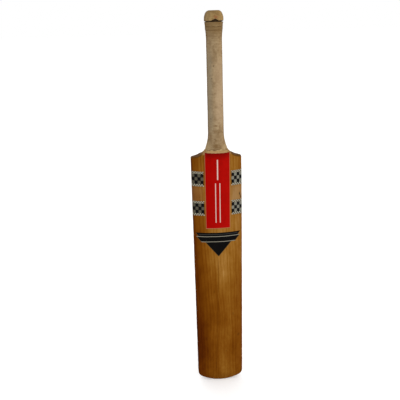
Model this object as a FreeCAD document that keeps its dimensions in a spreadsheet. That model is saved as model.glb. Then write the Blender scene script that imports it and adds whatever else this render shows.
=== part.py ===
import FreeCAD, Part
import math
import os

# Cricket bat, full size (short handle), as separate pieces.
#
# Frame, in millimetres: the origin is the middle of the hand grip on the
# handle's axis. +Z runs up the handle, so the toe is at the bottom. +Y is the
# outward normal of the flat playing face, -Y is the rounded back that carries
# the labels, and +X completes a right-handed set.
#
# Pieces: a willow blade with a V-shaped splice slot; a cane handle laminated
# from twelve splints in four layers of three, with three rubber spring strips
# between the layers, shaped to a wedge that fills the slot; a twine binding
# over the handle; a rubber grip sleeve and its rolled head cuff; and thin
# applied labels on the back of the blade.

os.makedirs("parts", exist_ok=True)
doc = FreeCAD.newDocument("cricket_bat")
V = FreeCAD.Vector

# ---------------------------------------------------------------- dimensions
sheet = doc.addObject("Spreadsheet::Sheet", "Dimensions")
sheet.Label = "Dimensions"
size = {}
row = [0]


def dim(alias, value, note=""):
    row[0] += 1
    cell = "B%d" % row[0]
    sheet.set("A%d" % row[0], note or alias)
    sheet.set(cell, "%.6g" % value)
    sheet.setAlias(cell, alias)
    size[alias] = float("%.6g" % value)


# blade, whole
dim("toe_level", -720, "lowest point of the toe")
dim("blade_half", 54, "half of the blade's width (108 mm, the largest the Laws allow)")
dim("shoulder_level", -158, "height of the shoulder corners")
dim("neck_level", -140, "top of the blade's wood, where the grip starts")
dim("neck_half", 24.6, "half width of the blade's wood at its top")
dim("toe_round", 130, "radius of the toe's long curve")
dim("toe_corner", 16, "radius of the toe's corners")
dim("shoulder_corner", 3, "radius of the shoulder corners, seen from the back")
dim("shoulder_run_x", 44, "where the straight shoulder meets the flare")
dim("shoulder_run_up", 2.9, "rise of the straight shoulder over that run")
dim("flare_radius", 33.1, "radius of the flare between shoulder and neck")
dim("face_edge_round", 2.6, "rounding of the playing face's edges")
dim("back_edge_round", 2.8, "rounding of the back's edges")
dim("loft_half", 60, "half width of the blade sections before they are trimmed")

dim("face_plane", 20, "playing face, in front of the handle's axis")
dim("face_bend", -166, "where the face starts to bend back towards the handle")
dim("face_neck", 17.4, "the face at the neck")
dim("blank_front", 25, "front of the blank before the face is planed")

# blade sections: level, spine depth and the fall of the back from the spine
# to the edges (at half width 54)
SECTIONS = [
    ("toe", -726, 0.7, 5.3),
    ("tip", -690, -2.5, 7.0),
    ("low", -640, -6.5, 9.0),
    ("lift", -565, -10.3, 11.2),
    ("swell", -490, -12.0, 12.0),
    ("belly", -405, -11.3, 10.8),
    ("waist", -325, -10.4, 9.7),
    ("chest", -245, -11.8, 12.2),
    ("collar", -190, -14.2, 16.4),
    ("shoulder", -160, -15.7, 20.6),
    ("throat", -148, -16.1, 22.4),
    ("neck", -136, -16.3, 23.4),
]
for tag, level, spine, fall in SECTIONS:
    dim("level_" + tag, level, "section height, " + tag)
    dim("spine_" + tag, spine, "back at the spine, " + tag)
    dim("fall_" + tag, fall, "fall of the back to the edges, " + tag)

# rounding of the throat: ellipses that trim the blade's top
THROAT = [
    ("one", -139.5, 24.9, 17.6),
    ("two", -144, 28.8, 20.0),
    ("three", -148, 36.0, 24.0),
    ("four", -152, 50.0, 32.0),
    ("five", -156, 72.0, 46.0),
    ("six", -162, 112.0, 70.0),
]
for tag, level, wide, deep in THROAT:
    dim("throat_level_" + tag, level, "throat rounding height")
    dim("throat_wide_" + tag, wide, "throat rounding, across")
    dim("throat_deep_" + tag, deep, "throat rounding, front to back")

# splice
dim("splice_tip_level", -275, "bottom of the splice")
dim("splice_top_half", 22.3, "half width of the splice at the neck")
dim("splice_tip_half", 3.0, "half width of the splice at its tip")

# handle core (cane and springs)
dim("shaft_level", -104, "where the round handle starts to flare into the neck")
dim("shaft_radius", 14.1, "core radius at the foot of the round handle")
dim("upper_level", 83, "top of the straight taper")
dim("upper_radius", 13.5, "core radius there")
dim("swell_level", 103, "core, start of the pommel")
dim("swell_radius", 15.0, "core radius there")
dim("pommel_level", 116, "core, pommel")
dim("pommel_radius", 16.0, "core radius at the pommel")
dim("core_top", 131.4, "top of the cane")
dim("core_round", 9.5, "rounding of the cane's top edge")
FLARE = [
    ("a", -104, 14.1, 14.1),
    ("b", -114, 14.75, 14.3),
    ("c", -122, 16.1, 14.65),
    ("d", -129, 18.0, 15.15),
    ("e", -135, 20.15, 15.65),
    ("f", -140, 22.3, 16.2),
]
for tag, level, wide, deep in FLARE:
    dim("flare_level_" + tag, level, "flare height")
    dim("flare_wide_" + tag, wide, "core, half across")
    dim("flare_deep_" + tag, deep, "core, half front to back")
dim("column_split", 7.3, "side faces of the middle column of cane")
dim("spring_pitch", 7.25, "distance between the rubber springs' middles")
dim("spring_thick", 1.5, "thickness of a rubber spring")

# coverings
dim("twine_thick", 0.85, "twine binding")
dim("twine_top", 112.4, "top of the twine")
dim("grip_thick", 1.5, "rubber grip over the twine")
dim("grip_top", 113.0, "top of the grip sleeve")
dim("cuff_level", 113.6, "bottom of the head cuff")
dim("cuff_radius", 19.1, "outer radius of the head cuff")
dim("cuff_top", 134, "top of the bat")
dim("cuff_round", 12, "rounding of the cuff's top edge")
dim("cuff_hole", 8, "radius of the opening in the cuff's top")

# labels on the back
dim("label_thick", 0.3, "thickness of the labels, front to back")
dim("label_half", 26.4, "half width of the long label")
dim("label_low", -315.6, "bottom of the long label")
dim("label_high", -145.0, "top of the long label")
dim("band_inner", 28.8, "inner side of the checked bands")
dim("band_outer", 51.0, "outer side of the checked bands")
dim("band_upper_low", -218.5, "upper bands, bottom")
dim("band_upper_high", -185.7, "upper bands, top")
dim("band_lower_low", -285.2, "lower bands, bottom")
dim("band_lower_high", -252.0, "lower bands, top")
dim("pennant_top_half", 49.6, "pennant label, half width of its top edge")
dim("pennant_top", -325.6, "pennant label, top edge")
dim("pennant_notch_half", 43.8, "pennant label, half width at the notch between its bars")
dim("pennant_notch", -333.6, "pennant label, height of the notch")
dim("pennant_barb_half", 48.4, "pennant label, half width of the lower bar")
dim("pennant_barb", -334.4, "pennant label, top of the lower bar")
dim("pennant_foot_half", 37.4, "pennant label, half width at the foot of its bars")
dim("pennant_foot", -347.8, "pennant label, foot of its bars")
dim("pennant_point_half", 28.8, "pennant label, half width of the triangle")
dim("pennant_tip", -382.2, "pennant label, lower tip")

doc.recompute()


# ------------------------------------------------------------------- helpers
def plane(body, role):
    for feature in body.Origin.OriginFeatures:
        if feature.Role == role:
            return feature
    raise RuntimeError("no plane " + role)


def new_sketch(body, name, role, level=None):
    sk = body.newObject("Sketcher::SketchObject", name)
    sk.AttachmentSupport = [(plane(body, role), "")]
    sk.MapMode = "FlatFace"
    if level:
        sk.setExpression("AttachmentOffset.Base.z", "Dimensions." + level)
    return sk


def value_of(expression):
    """Number that an expression over the sheet stands for."""
    text = expression.replace("Dimensions.", "")
    total, sign, token = 0.0, 1.0, ""
    for part in text.replace("-", " - ").replace("+", " + ").split():
        if part == "-":
            sign = -1.0
        elif part == "+":
            sign = 1.0
        else:
            number = 1.0
            for factor in part.split("*"):
                number *= size[factor] if factor in size else float(factor)
            total += sign * number
            sign = 1.0
    return total


def bound(text):
    """The same expression with the sheet's name before each alias."""
    out = []
    for part in text.replace("-", " - ").replace("+", " + ").split():
        if part in "+-":
            out.append(part)
        else:
            out.append("*".join("Dimensions." + f if f in size else f for f in part.split("*")))
    return " ".join(out)


def pin(sk, geo, pos, ex, ey):
    """Hold a sketch point at two distances from the origin, from the sheet."""
    import Sketcher

    for kind, text, axis in (("DistanceX", ex, -2), ("DistanceY", ey, -1)):
        number = value_of(text)
        if abs(number) < 1e-9:
            sk.addConstraint(Sketcher.Constraint("PointOnObject", geo, pos, axis))
            continue
        if number > 0:
            i = sk.addConstraint(Sketcher.Constraint(kind, -1, 1, geo, pos, number))
            sk.setExpression("Constraints[%d]" % i, bound(text))
        else:
            i = sk.addConstraint(Sketcher.Constraint(kind, geo, pos, -1, 1, -number))
            sk.setExpression("Constraints[%d]" % i, "-(" + bound(text) + ")")


def polygon(sk, points):
    """Closed polygon whose corners are pairs of sheet expressions."""
    import Sketcher

    xy = [V(value_of(ex), value_of(ey), 0) for ex, ey in points]
    n = len(points)
    first = sk.GeometryCount
    for i in range(n):
        sk.addGeometry(Part.LineSegment(xy[i], xy[(i + 1) % n]), False)
    for i in range(n):
        sk.addConstraint(Sketcher.Constraint("Coincident", first + i, 2, first + (i + 1) % n, 1))
    for i, (ex, ey) in enumerate(points):
        pin(sk, first + i, 1, ex, ey)


def blade_section(body, tag):
    """Flat front, straight edges and a back that is one shallow arc."""
    import Sketcher

    sk = new_sketch(body, "section_" + tag, "XY_Plane", "level_" + tag)
    half = size["loft_half"]
    face, spine = size["blank_front"], size["spine_" + tag]
    sag = size["fall_" + tag] * (half / size["blade_half"]) ** 2
    edge = spine + sag
    radius = (half * half + sag * sag) / (2 * sag)
    centre = V(0, spine + radius, 0)
    turn = math.asin(half / radius)
    sk.addGeometry(Part.ArcOfCircle(Part.Circle(centre, V(0, 0, 1), radius), -math.pi / 2 - turn, -math.pi / 2 + turn), False)
    sk.addGeometry(Part.LineSegment(V(half, edge, 0), V(half, face, 0)), False)
    sk.addGeometry(Part.LineSegment(V(half, face, 0), V(-half, face, 0)), False)
    sk.addGeometry(Part.LineSegment(V(-half, face, 0), V(-half, edge, 0)), False)
    for a, b in ((0, 1), (1, 2), (2, 3)):
        sk.addConstraint(Sketcher.Constraint("Coincident", a, 2, b, 1))
    sk.addConstraint(Sketcher.Constraint("Coincident", 3, 2, 0, 1))
    pin(sk, 1, 2, "loft_half", "blank_front")
    pin(sk, 2, 2, "-1*loft_half", "blank_front")
    sk.addConstraint(Sketcher.Constraint("Vertical", 1))
    sk.addConstraint(Sketcher.Constraint("Vertical", 3))
    sk.addConstraint(Sketcher.Constraint("PointOnObject", 0, 3, -2))
    i = sk.addConstraint(Sketcher.Constraint("Radius", 0, radius))
    sag_text = "(Dimensions.fall_%s * (Dimensions.loft_half / Dimensions.blade_half) ^ 2)" % tag
    sk.setExpression("Constraints[%d]" % i, "(Dimensions.loft_half ^ 2 + %s ^ 2) / (2 * %s)" % (sag_text, sag_text))
    j = sk.addConstraint(Sketcher.Constraint("DistanceY", 0, 1, 2, 2, face - edge))
    sk.setExpression("Constraints[%d]" % j, "Dimensions.blank_front - Dimensions.spine_%s - %s" % (tag, sag_text))
    return sk


def ellipse(name, level, wide, deep, extra=None):
    """A level ellipse about the handle's axis, its sizes from the sheet."""
    grow = " + " + extra if extra else ""
    curve = doc.addObject("Part::Ellipse", name)
    w = size[wide] + (value_of(extra) if extra else 0)
    d = size[deep] + (value_of(extra) if extra else 0)
    curve.MajorRadius, curve.MinorRadius = w, d
    curve.setExpression("MajorRadius", bound(wide + grow))
    curve.setExpression("MinorRadius", bound(deep + grow))
    curve.Placement = FreeCAD.Placement(V(0, 0, size[level]), FreeCAD.Rotation())
    curve.setExpression("Placement.Base.z", bound(level))
    return curve


def loft(name, curves):
    thing = doc.addObject("Part::Loft", name)
    thing.Sections = curves
    thing.Solid = True
    thing.Ruled = False
    thing.Closed = False
    return thing


def turned(name, points):
    """Body turned about the handle's axis from a half profile."""
    body = doc.addObject("PartDesign::Body", name)
    sk = new_sketch(body, name + "_profile", "XZ_Plane")
    polygon(sk, points)
    rev = body.newObject("PartDesign::Revolution", name + "_turn")
    rev.Profile = sk
    rev.ReferenceAxis = (sk, ["V_Axis"])
    rev.Angle = 360
    sk.Visibility = False
    doc.recompute()
    return body


def padded(name, points, depth=60.0):
    """Body whose outline, seen along Y, is a polygon from the sheet."""
    body = doc.addObject("PartDesign::Body", name)
    sk = new_sketch(body, name + "_outline", "XZ_Plane")
    polygon(sk, points)
    pad = body.newObject("PartDesign::Pad", name + "_pad")
    pad.Profile = sk
    pad.Length = depth
    pad.Midplane = True
    sk.Visibility = False
    doc.recompute()
    return body


def binary(kind, name, base, tool):
    thing = doc.addObject("Part::" + kind, name)
    thing.Base = base
    thing.Tool = tool
    return thing


# ------------------------------------------------------- blank of the blade
# A loft through level sections gives the flat face and the rounded back; the
# outline seen from the back is then cut round it, and the edges are rounded.
blank = doc.addObject("PartDesign::Body", "blade_blank")
sections = [blade_section(blank, s[0]) for s in SECTIONS]
doc.recompute()
shell = blank.newObject("PartDesign::AdditiveLoft", "blade_loft")
shell.Profile = sections[0]
shell.Sections = sections[1:]
shell.Ruled = False
shell.Closed = False
doc.recompute()


def outline_sketch(body):
    """Everything outside the blade's outline: a frame with the blade as its hole."""
    import Sketcher

    sk = new_sketch(body, "blade_outline", "XZ_Plane")
    B, R, r = size["blade_half"], size["toe_round"], size["toe_corner"]
    toe, sh, rc = size["toe_level"], size["shoulder_level"], size["shoulder_corner"]
    # toe: long arc, then two corner arcs tangent to it and to the sides
    cz = toe + R - math.sqrt((R - r) ** 2 - (B - r) ** 2)
    lean = math.atan2(B - r, toe + R - cz)
    # shoulder: straight run, then the flare up to the neck
    px, pz = size["shoulder_run_x"], sh + size["shoulder_run_up"]
    nx, nz = size["neck_half"], size["neck_level"]
    Rf = size["flare_radius"]
    # corner arc between the side and the straight shoulder
    slope = math.atan2(pz - sh, B - px)
    reach = rc * math.tan((math.pi / 2 - slope) / 2)
    cx0, cz0 = B - rc, sh - reach
    ca = math.pi / 2 - slope  # end angle of the corner arc, from +X
    ex, ez = cx0 + rc * math.cos(ca), cz0 + rc * math.sin(ca)
    # centre of the flare's arc, outside the wood
    mx, mz = (px + nx) / 2, (pz + nz) / 2
    chord = math.hypot(px - nx, nz - pz)
    hgt = math.sqrt(Rf ** 2 - (chord / 2) ** 2)
    ux, uz = (nz - pz) / chord, (px - nx) / chord
    fx, fz = mx + ux * hgt, mz + uz * hgt
    a_run = math.atan2(pz - fz, px - fx)
    a_neck = math.atan2(nz - fz, nx - fx)
    if a_neck > 0:
        a_neck -= 2 * math.pi
    Z = V(0, 0, 1)
    g = []

    def add(shape):
        g.append(sk.addGeometry(shape, False))
        return g[-1]

    a_toe = add(Part.ArcOfCircle(Part.Circle(V(0, toe + R, 0), Z, R), -math.pi / 2 - lean, -math.pi / 2 + lean))
    a_br = add(Part.ArcOfCircle(Part.Circle(V(B - r, cz, 0), Z, r), -math.pi / 2 + lean, 0))
    l_r = add(Part.LineSegment(V(B, cz, 0), V(B, cz0, 0)))
    a_sr = add(Part.ArcOfCircle(Part.Circle(V(cx0, cz0, 0), Z, rc), 0, ca))
    l_sr = add(Part.LineSegment(V(ex, ez, 0), V(px, pz, 0)))
    a_fr = add(Part.ArcOfCircle(Part.Circle(V(fx, fz, 0), Z, Rf), a_neck, a_run))
    l_top = add(Part.LineSegment(V(nx, nz, 0), V(-nx, nz, 0)))
    a_fl = add(Part.ArcOfCircle(Part.Circle(V(-fx, fz, 0), Z, Rf), math.pi - a_run, math.pi - a_neck))
    l_sl = add(Part.LineSegment(V(-px, pz, 0), V(-ex, ez, 0)))
    a_sl = add(Part.ArcOfCircle(Part.Circle(V(-cx0, cz0, 0), Z, rc), math.pi - ca, math.pi))
    l_l = add(Part.LineSegment(V(-B, cz0, 0), V(-B, cz, 0)))
    a_bl = add(Part.ArcOfCircle(Part.Circle(V(-B + r, cz, 0), Z, r), math.pi, math.pi * 1.5 - lean))
    C = Sketcher.Constraint
    for one, p1, two, p2 in (
        (a_bl, 2, a_toe, 1), (a_toe, 2, a_br, 1), (a_br, 2, l_r, 1), (l_r, 2, a_sr, 1),
        (a_sr, 2, l_sr, 1), (l_sl, 2, a_sl, 1), (a_sl, 2, l_l, 1), (l_l, 2, a_bl, 1),
    ):
        sk.addConstraint(C("Tangent", one, p1, two, p2))
    for one, p1, two, p2 in ((l_sr, 2, a_fr, 2), (a_fr, 1, l_top, 1), (l_top, 2, a_fl, 2), (a_fl, 1, l_sl, 1)):
        sk.addConstraint(C("Coincident", one, p1, two, p2))
    sk.addConstraint(C("PointOnObject", a_toe, 3, -2))
    for arc, alias in ((a_toe, "toe_round"), (a_br, "toe_corner"), (a_bl, "toe_corner"), (a_sr, "shoulder_corner"),
                       (a_sl, "shoulder_corner"), (a_fr, "flare_radius"), (a_fl, "flare_radius")):
        i = sk.addConstraint(C("Radius", arc, size[alias]))
        sk.setExpression("Constraints[%d]" % i, "Dimensions." + alias)
    i = sk.addConstraint(C("DistanceY", a_toe, 3, -1, 1, -(toe + R)))
    sk.setExpression("Constraints[%d]" % i, "-(Dimensions.toe_level + Dimensions.toe_round)")
    for line, sign in ((l_r, 1), (l_l, -1)):
        i = sk.addConstraint(C("DistanceX", *((-1, 1, line, 1, B) if sign > 0 else (line, 1, -1, 1, B))))
        sk.setExpression("Constraints[%d]" % i, "Dimensions.blade_half")
        sk.addConstraint(C("Vertical", line))
    pin(sk, l_top, 1, "neck_half", "neck_level")
    pin(sk, l_top, 2, "-1*neck_half", "neck_level")
    pin(sk, l_sr, 2, "shoulder_run_x", "shoulder_level+shoulder_run_up")
    pin(sk, l_sl, 1, "-1*shoulder_run_x", "shoulder_level+shoulder_run_up")
    for line, side in ((l_sr, ""), (l_sl, "-1*")):
        corner = sk.addGeometry(Part.Point(V(B if not side else -B, sh, 0)), True)
        pin(sk, corner, 1, side + "blade_half", "shoulder_level")
        sk.addConstraint(C("PointOnObject", corner, 1, line))
    # the frame round the blade
    polygon(sk, [("-100", "-800"), ("100", "-800"), ("100", "-60"), ("-100", "-60")])
    return sk, (ex, ez)


outline, corner_end = outline_sketch(blank)
doc.recompute()
trim = blank.newObject("PartDesign::Pocket", "blade_trim")
trim.Profile = outline
trim.Length = 200
trim.Midplane = True
doc.recompute()


def face_sketch(body):
    """What is planed off the front: flat below the bend, then an arc to the neck."""
    import Sketcher

    sk = new_sketch(body, "blade_face", "YZ_Plane")
    y0, z0 = size["face_plane"], size["face_bend"]
    y1, z1 = size["face_neck"], size["neck_level"]
    drop, run = y0 - y1, z1 - z0
    radius = (run ** 2 + drop ** 2) / (2 * drop)
    lean = math.asin(run / radius)
    Z = V(0, 0, 1)
    a = sk.addGeometry(Part.ArcOfCircle(Part.Circle(V(y0 - radius, z0, 0), Z, radius), 0, lean), False)
    corners = [V(y1, z1, 0), V(60, z1, 0), V(60, -760, 0), V(y0, -760, 0), V(y0, z0, 0)]
    lines = [sk.addGeometry(Part.LineSegment(corners[k], corners[k + 1]), False) for k in range(4)]
    C = Sketcher.Constraint
    sk.addConstraint(C("Coincident", a, 2, lines[0], 1))
    for k in range(3):
        sk.addConstraint(C("Coincident", lines[k], 2, lines[k + 1], 1))
    sk.addConstraint(C("Tangent", lines[3], 2, a, 1))
    pin(sk, lines[0], 1, "face_neck", "neck_level")
    pin(sk, lines[1], 1, "60", "neck_level")
    pin(sk, lines[2], 1, "60", "-760")
    pin(sk, lines[3], 1, "face_plane", "-760")
    pin(sk, lines[3], 2, "face_plane", "face_bend")
    return sk


planed = face_sketch(blank)
doc.recompute()
face_cut = blank.newObject("PartDesign::Pocket", "blade_planed")
face_cut.Profile = planed
face_cut.Length = 300
face_cut.Midplane = True
doc.recompute()
print("outline", outline.solve(), outline.FullyConstrained, "face", planed.solve(), planed.FullyConstrained,
      "loft", round(shell.Shape.Volume), "trim", round(trim.Shape.Volume), "planed", round(face_cut.Shape.Volume))


def edge_names(feature, test):
    return ["Edge%d" % (i + 1) for i, e in enumerate(feature.Shape.Edges) if test(e.BoundBox)]


def rim(box):
    """Edges that run round the outline, not the short ones across its thickness."""
    top = box.ZMin > size["neck_level"] - 0.5
    across = box.XLength < 0.01 and box.ZLength < 0.01
    bend = box.YLength < 0.01 and box.ZLength < 0.01
    return not (top or across or bend)


face_edges = edge_names(face_cut, lambda b: rim(b) and b.YMin > size["face_neck"] - 0.5)
back_edges = edge_names(face_cut, lambda b: rim(b) and b.YMax < 10)
print("face edges", face_edges, "back edges", back_edges)


def rounded(name, base, names, alias):
    f = blank.newObject("PartDesign::Fillet", name)
    f.Base = (base, names)
    f.Radius = size[alias]
    f.setExpression("Radius", "Dimensions." + alias)
    doc.recompute()
    print(name, f.State, f.Shape.isNull() or (f.Shape.isValid(), round(f.Shape.Volume), len(f.Shape.Faces)))
    return f


round_face = rounded("face_rounding", face_cut, face_edges, "face_edge_round")
back_edges = edge_names(round_face, lambda b: rim(b) and b.YMax < 10)
print("back edges", back_edges)
round_back = rounded("back_rounding", round_face, back_edges, "back_edge_round")
blank.Tip = round_back
doc.recompute()

# ------------------------------------------------------- rounding the throat
# The corners of the blade's top are carved round, towards the round handle.
throat = loft("throat_form", [ellipse("throat_" + e[0], "throat_level_" + e[0], "throat_wide_" + e[0], "throat_deep_" + e[0]) for e in THROAT])
block = doc.addObject("Part::Box", "throat_block")
block.Length, block.Width = 130, 80
block.setExpression("Height", "Dimensions.throat_level_one - Dimensions.throat_level_five - 0.1")
block.Height = size["throat_level_one"] - size["throat_level_five"] - 0.1
block.Placement = FreeCAD.Placement(V(-65, -40, size["throat_level_five"] + 0.05), FreeCAD.Rotation())
block.setExpression("Placement.Base.z", "Dimensions.throat_level_five + 0.05")
carve = binary("Cut", "throat_carve", block, throat)
wood = binary("Cut", "blade_wood", blank, carve)
doc.recompute()
print("throat", throat.State, round(throat.Shape.Volume), "carve", len(carve.Shape.Solids), "wood", wood.Shape.isValid(), round(wood.Shape.Volume), len(wood.Shape.Solids))

# -------------------------------------------------------------------- splice
wedge_form = padded("splice_form", [
    ("-1*splice_tip_half", "splice_tip_level"), ("splice_tip_half", "splice_tip_level"),
    ("splice_top_half", "neck_level"), ("splice_top_half", "neck_level+5"),
    ("-1*splice_top_half", "neck_level+5"), ("-1*splice_top_half", "neck_level"),
], 90)
blade = binary("Cut", "blade", wood, wedge_form)
wedge = binary("Common", "handle_wedge", wood, wedge_form)

# -------------------------------------------------------------- handle forms
# The same form is made at three offsets: the cane core, the outside of the
# twine, and the outside of the grip.
core_turn = turned("core_shaft", [
    ("0", "shaft_level"), ("shaft_radius", "shaft_level"), ("upper_radius", "upper_level"), ("swell_radius", "swell_level"),
    ("pommel_radius", "pommel_level"), ("pommel_radius", "core_top"), ("0", "core_top"),
])
rim_edge = ["Edge%d" % (i + 1) for i, e in enumerate(core_turn.Tip.Shape.Edges)
            if e.BoundBox.ZMin > size["core_top"] - 0.01 and e.BoundBox.XLength > 2 * size["pommel_radius"] - 0.5]
core_body = core_turn.Tip
core_rim = core_turn.newObject("PartDesign::Fillet", "core_rim")
core_rim.Base = (core_body, rim_edge)
core_rim.Radius = size["core_round"]
core_rim.setExpression("Radius", "Dimensions.core_round")
core_turn.Tip = core_rim
doc.recompute()
core_flare = loft("core_flare", [ellipse("core_" + f[0], "flare_level_" + f[0], "flare_wide_" + f[0], "flare_deep_" + f[0]) for f in FLARE])
core_form = binary("Fuse", "core_form", core_turn, core_flare)
handle_core = binary("Fuse", "handle_core", core_form, wedge)

twine_turn = turned("twine_shaft", [
    ("0", "shaft_level"), ("shaft_radius+twine_thick", "shaft_level"), ("upper_radius+twine_thick", "upper_level"),
    ("swell_radius+twine_thick", "swell_level"), ("pommel_radius+twine_thick", "twine_top"), ("0", "twine_top"),
])
twine_flare = loft("twine_flare", [ellipse("twine_" + f[0], "flare_level_" + f[0], "flare_wide_" + f[0], "flare_deep_" + f[0], "twine_thick") for f in FLARE])
twine_form = binary("Fuse", "twine_form", twine_turn, twine_flare)

grip_turn = turned("grip_shaft", [
    ("0", "shaft_level"), ("shaft_radius+twine_thick+grip_thick", "shaft_level"), ("upper_radius+twine_thick+grip_thick", "upper_level"),
    ("swell_radius+twine_thick+grip_thick", "swell_level"), ("pommel_radius+twine_thick+grip_thick", "grip_top"), ("0", "grip_top"),
])
grip_flare = loft("grip_flare", [ellipse("grip_" + f[0], "flare_level_" + f[0], "flare_wide_" + f[0], "flare_deep_" + f[0], "twine_thick+grip_thick") for f in FLARE])
grip_form = binary("Fuse", "grip_form", grip_turn, grip_flare)

cuff_turn = turned("cuff_form", [("0", "cuff_level"), ("cuff_radius", "cuff_level"), ("cuff_radius", "cuff_top"), ("0", "cuff_top")])
top_edge = ["Edge%d" % (i + 1) for i, e in enumerate(cuff_turn.Tip.Shape.Edges)
            if e.BoundBox.ZMin > size["cuff_top"] - 0.01 and e.BoundBox.XLength > 2 * size["cuff_radius"] - 0.5]
cuff_body = cuff_turn.Tip
cuff_rim = cuff_turn.newObject("PartDesign::Fillet", "cuff_rim")
cuff_rim.Base = (cuff_body, top_edge)
cuff_rim.Radius = size["cuff_round"]
cuff_rim.setExpression("Radius", "Dimensions.cuff_round")
cuff_turn.Tip = cuff_rim
doc.recompute()
opening = doc.addObject("Part::Cylinder", "cuff_opening")
opening.Radius, opening.Height = size["cuff_hole"], 30
opening.setExpression("Radius", "Dimensions.cuff_hole")
opening.Placement = FreeCAD.Placement(V(0, 0, size["core_top"] - 10), FreeCAD.Rotation())
cuff_open = binary("Cut", "cuff_open", cuff_turn, opening)

twine = binary("Cut", "twine_binding", twine_form, core_form)
grip = binary("Cut", "grip_sleeve", grip_form, twine_form)
cuff = binary("Cut", "grip_head_cuff", cuff_open, core_form)
doc.recompute()
for thing in (blade, wedge, core_turn, core_flare, core_form, handle_core, twine_form, grip_form, twine, grip, cuff):
    print(thing.Label, thing.State, thing.Shape.isValid(), len(thing.Shape.Solids), round(thing.Shape.Volume))

# ----------------------------------------------- cane splints and springs
# Four layers of cane, front to back, with a rubber spring between each two,
# and three columns across. Every splint runs from the pommel into the splice.
pitch, half_spring = "spring_pitch", "0.5*spring_thick"
LAYERS = [
    ("back", "-25", "-1*spring_pitch-0.5*spring_thick"),
    ("midback", "-1*spring_pitch+0.5*spring_thick", "-0.5*spring_thick"),
    ("midfront", "0.5*spring_thick", "spring_pitch-0.5*spring_thick"),
    ("front", "spring_pitch+0.5*spring_thick", "25"),
]
COLUMNS = [("left", "-30", "-1*column_split"), ("centre", "-1*column_split", "column_split"), ("right", "column_split", "30")]
SPRINGS = [
    ("back", "-1*spring_pitch-0.5*spring_thick", "-1*spring_pitch+0.5*spring_thick"),
    ("middle", "-0.5*spring_thick", "0.5*spring_thick"),
    ("front", "spring_pitch-0.5*spring_thick", "spring_pitch+0.5*spring_thick"),
]


def bar(name, x0, x1, y0, y1):
    """Upright bar whose four sides come from the sheet."""
    b = doc.addObject("Part::Box", name)
    X0, X1, Y0, Y1 = (value_of(t) for t in (x0, x1, y0, y1))
    b.Length, b.Width, b.Height = X1 - X0, Y1 - Y0, 460
    b.Placement = FreeCAD.Placement(V(X0, Y0, -300), FreeCAD.Rotation())
    b.setExpression("Length", "(%s) - (%s)" % (bound(x1), bound(x0)))
    b.setExpression("Width", "(%s) - (%s)" % (bound(y1), bound(y0)))
    b.setExpression("Placement.Base.x", bound(x0))
    b.setExpression("Placement.Base.y", bound(y0))
    return b


pieces = []
for layer, y0, y1 in LAYERS:
    for column, x0, x1 in COLUMNS:
        name = "cane_%s_%s" % (layer, column)
        pieces.append(binary("Common", name, handle_core, bar(name + "_bar", x0, x1, y0, y1)))
for place, y0, y1 in SPRINGS:
    name = "rubber_spring_" + place
    pieces.append(binary("Common", name, handle_core, bar(name + "_bar", "-30", "30", y0, y1)))
doc.recompute()

# -------------------------------------------------------------------- labels
# Each label is a thin skin over the wood's back: what lies between the wood
# and the same wood moved outward by the label's thickness, inside its outline.
lifted = doc.addObject("Part::Feature", "wood_lifted")
lifted.Shape = wood.Shape.copy()
lifted.Placement = FreeCAD.Placement(V(0, -size["label_thick"], 0), FreeCAD.Rotation())


def label(name, points):
    form = padded(name + "_form", points, 90)
    back = doc.addObject("Part::Box", name + "_half")
    back.Length, back.Width, back.Height = 140, 40, 320
    back.Placement = FreeCAD.Placement(V(-70, -40, -420), FreeCAD.Rotation())
    outline_part = binary("Common", name + "_prism", form, back)
    skin = binary("Common", name + "_skin", lifted, outline_part)
    return binary("Cut", name, skin, wood)


pieces.append(label("back_label", [
    ("-1*label_half", "label_low"), ("label_half", "label_low"), ("label_half", "label_high"), ("-1*label_half", "label_high")]))
for side, sign in (("left", "-1*"), ("right", "")):
    for level in ("upper", "lower"):
        pieces.append(label("checked_band_%s_%s" % (level, side), [
            (sign + "band_inner", "band_%s_low" % level), (sign + "band_outer", "band_%s_low" % level),
            (sign + "band_outer", "band_%s_high" % level), (sign + "band_inner", "band_%s_high" % level)]))
pieces.append(label("pennant_label", [
    ("-1*pennant_top_half", "pennant_top"), ("-1*pennant_notch_half", "pennant_notch"), ("-1*pennant_barb_half", "pennant_barb"),
    ("-1*pennant_foot_half", "pennant_foot"), ("-1*pennant_point_half", "pennant_foot"), ("0", "pennant_tip"),
    ("pennant_point_half", "pennant_foot"), ("pennant_foot_half", "pennant_foot"), ("pennant_barb_half", "pennant_barb"),
    ("pennant_notch_half", "pennant_notch"), ("pennant_top_half", "pennant_top")]))
doc.recompute()

# ------------------------------------------------------------ check and write
pieces = [blade, twine, grip, cuff] + pieces
faults = []
for thing in doc.Objects:
    if any(word in ("Invalid", "Error") for word in thing.State):
        faults.append("%s: %s" % (thing.Label, thing.State))
for piece in pieces:
    shape = piece.Shape
    if shape.isNull() or not shape.isValid():
        faults.append(piece.Label + ": no valid shape")
    elif len(shape.Solids) != 1:
        faults.append("%s: %d solids" % (piece.Label, len(shape.Solids)))
if faults:
    raise RuntimeError("; ".join(faults))
total = 0
for piece in pieces:
    box = piece.Shape.optimalBoundingBox(True, False)
    total += piece.Shape.Volume
    print("%-28s %9.0f mm3  x %.1f..%.1f  y %.1f..%.1f  z %.1f..%.1f" % (
        piece.Label, piece.Shape.Volume, box.XMin, box.XMax, box.YMin, box.YMax, box.ZMin, box.ZMax))
    piece.Shape.exportStep("parts/%s.step" % piece.Label)
print("pieces", len(pieces), "volume", round(total))
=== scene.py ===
import math

import bmesh
import bpy
import numpy as np
from mathutils import Matrix, Vector, kdtree


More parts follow.
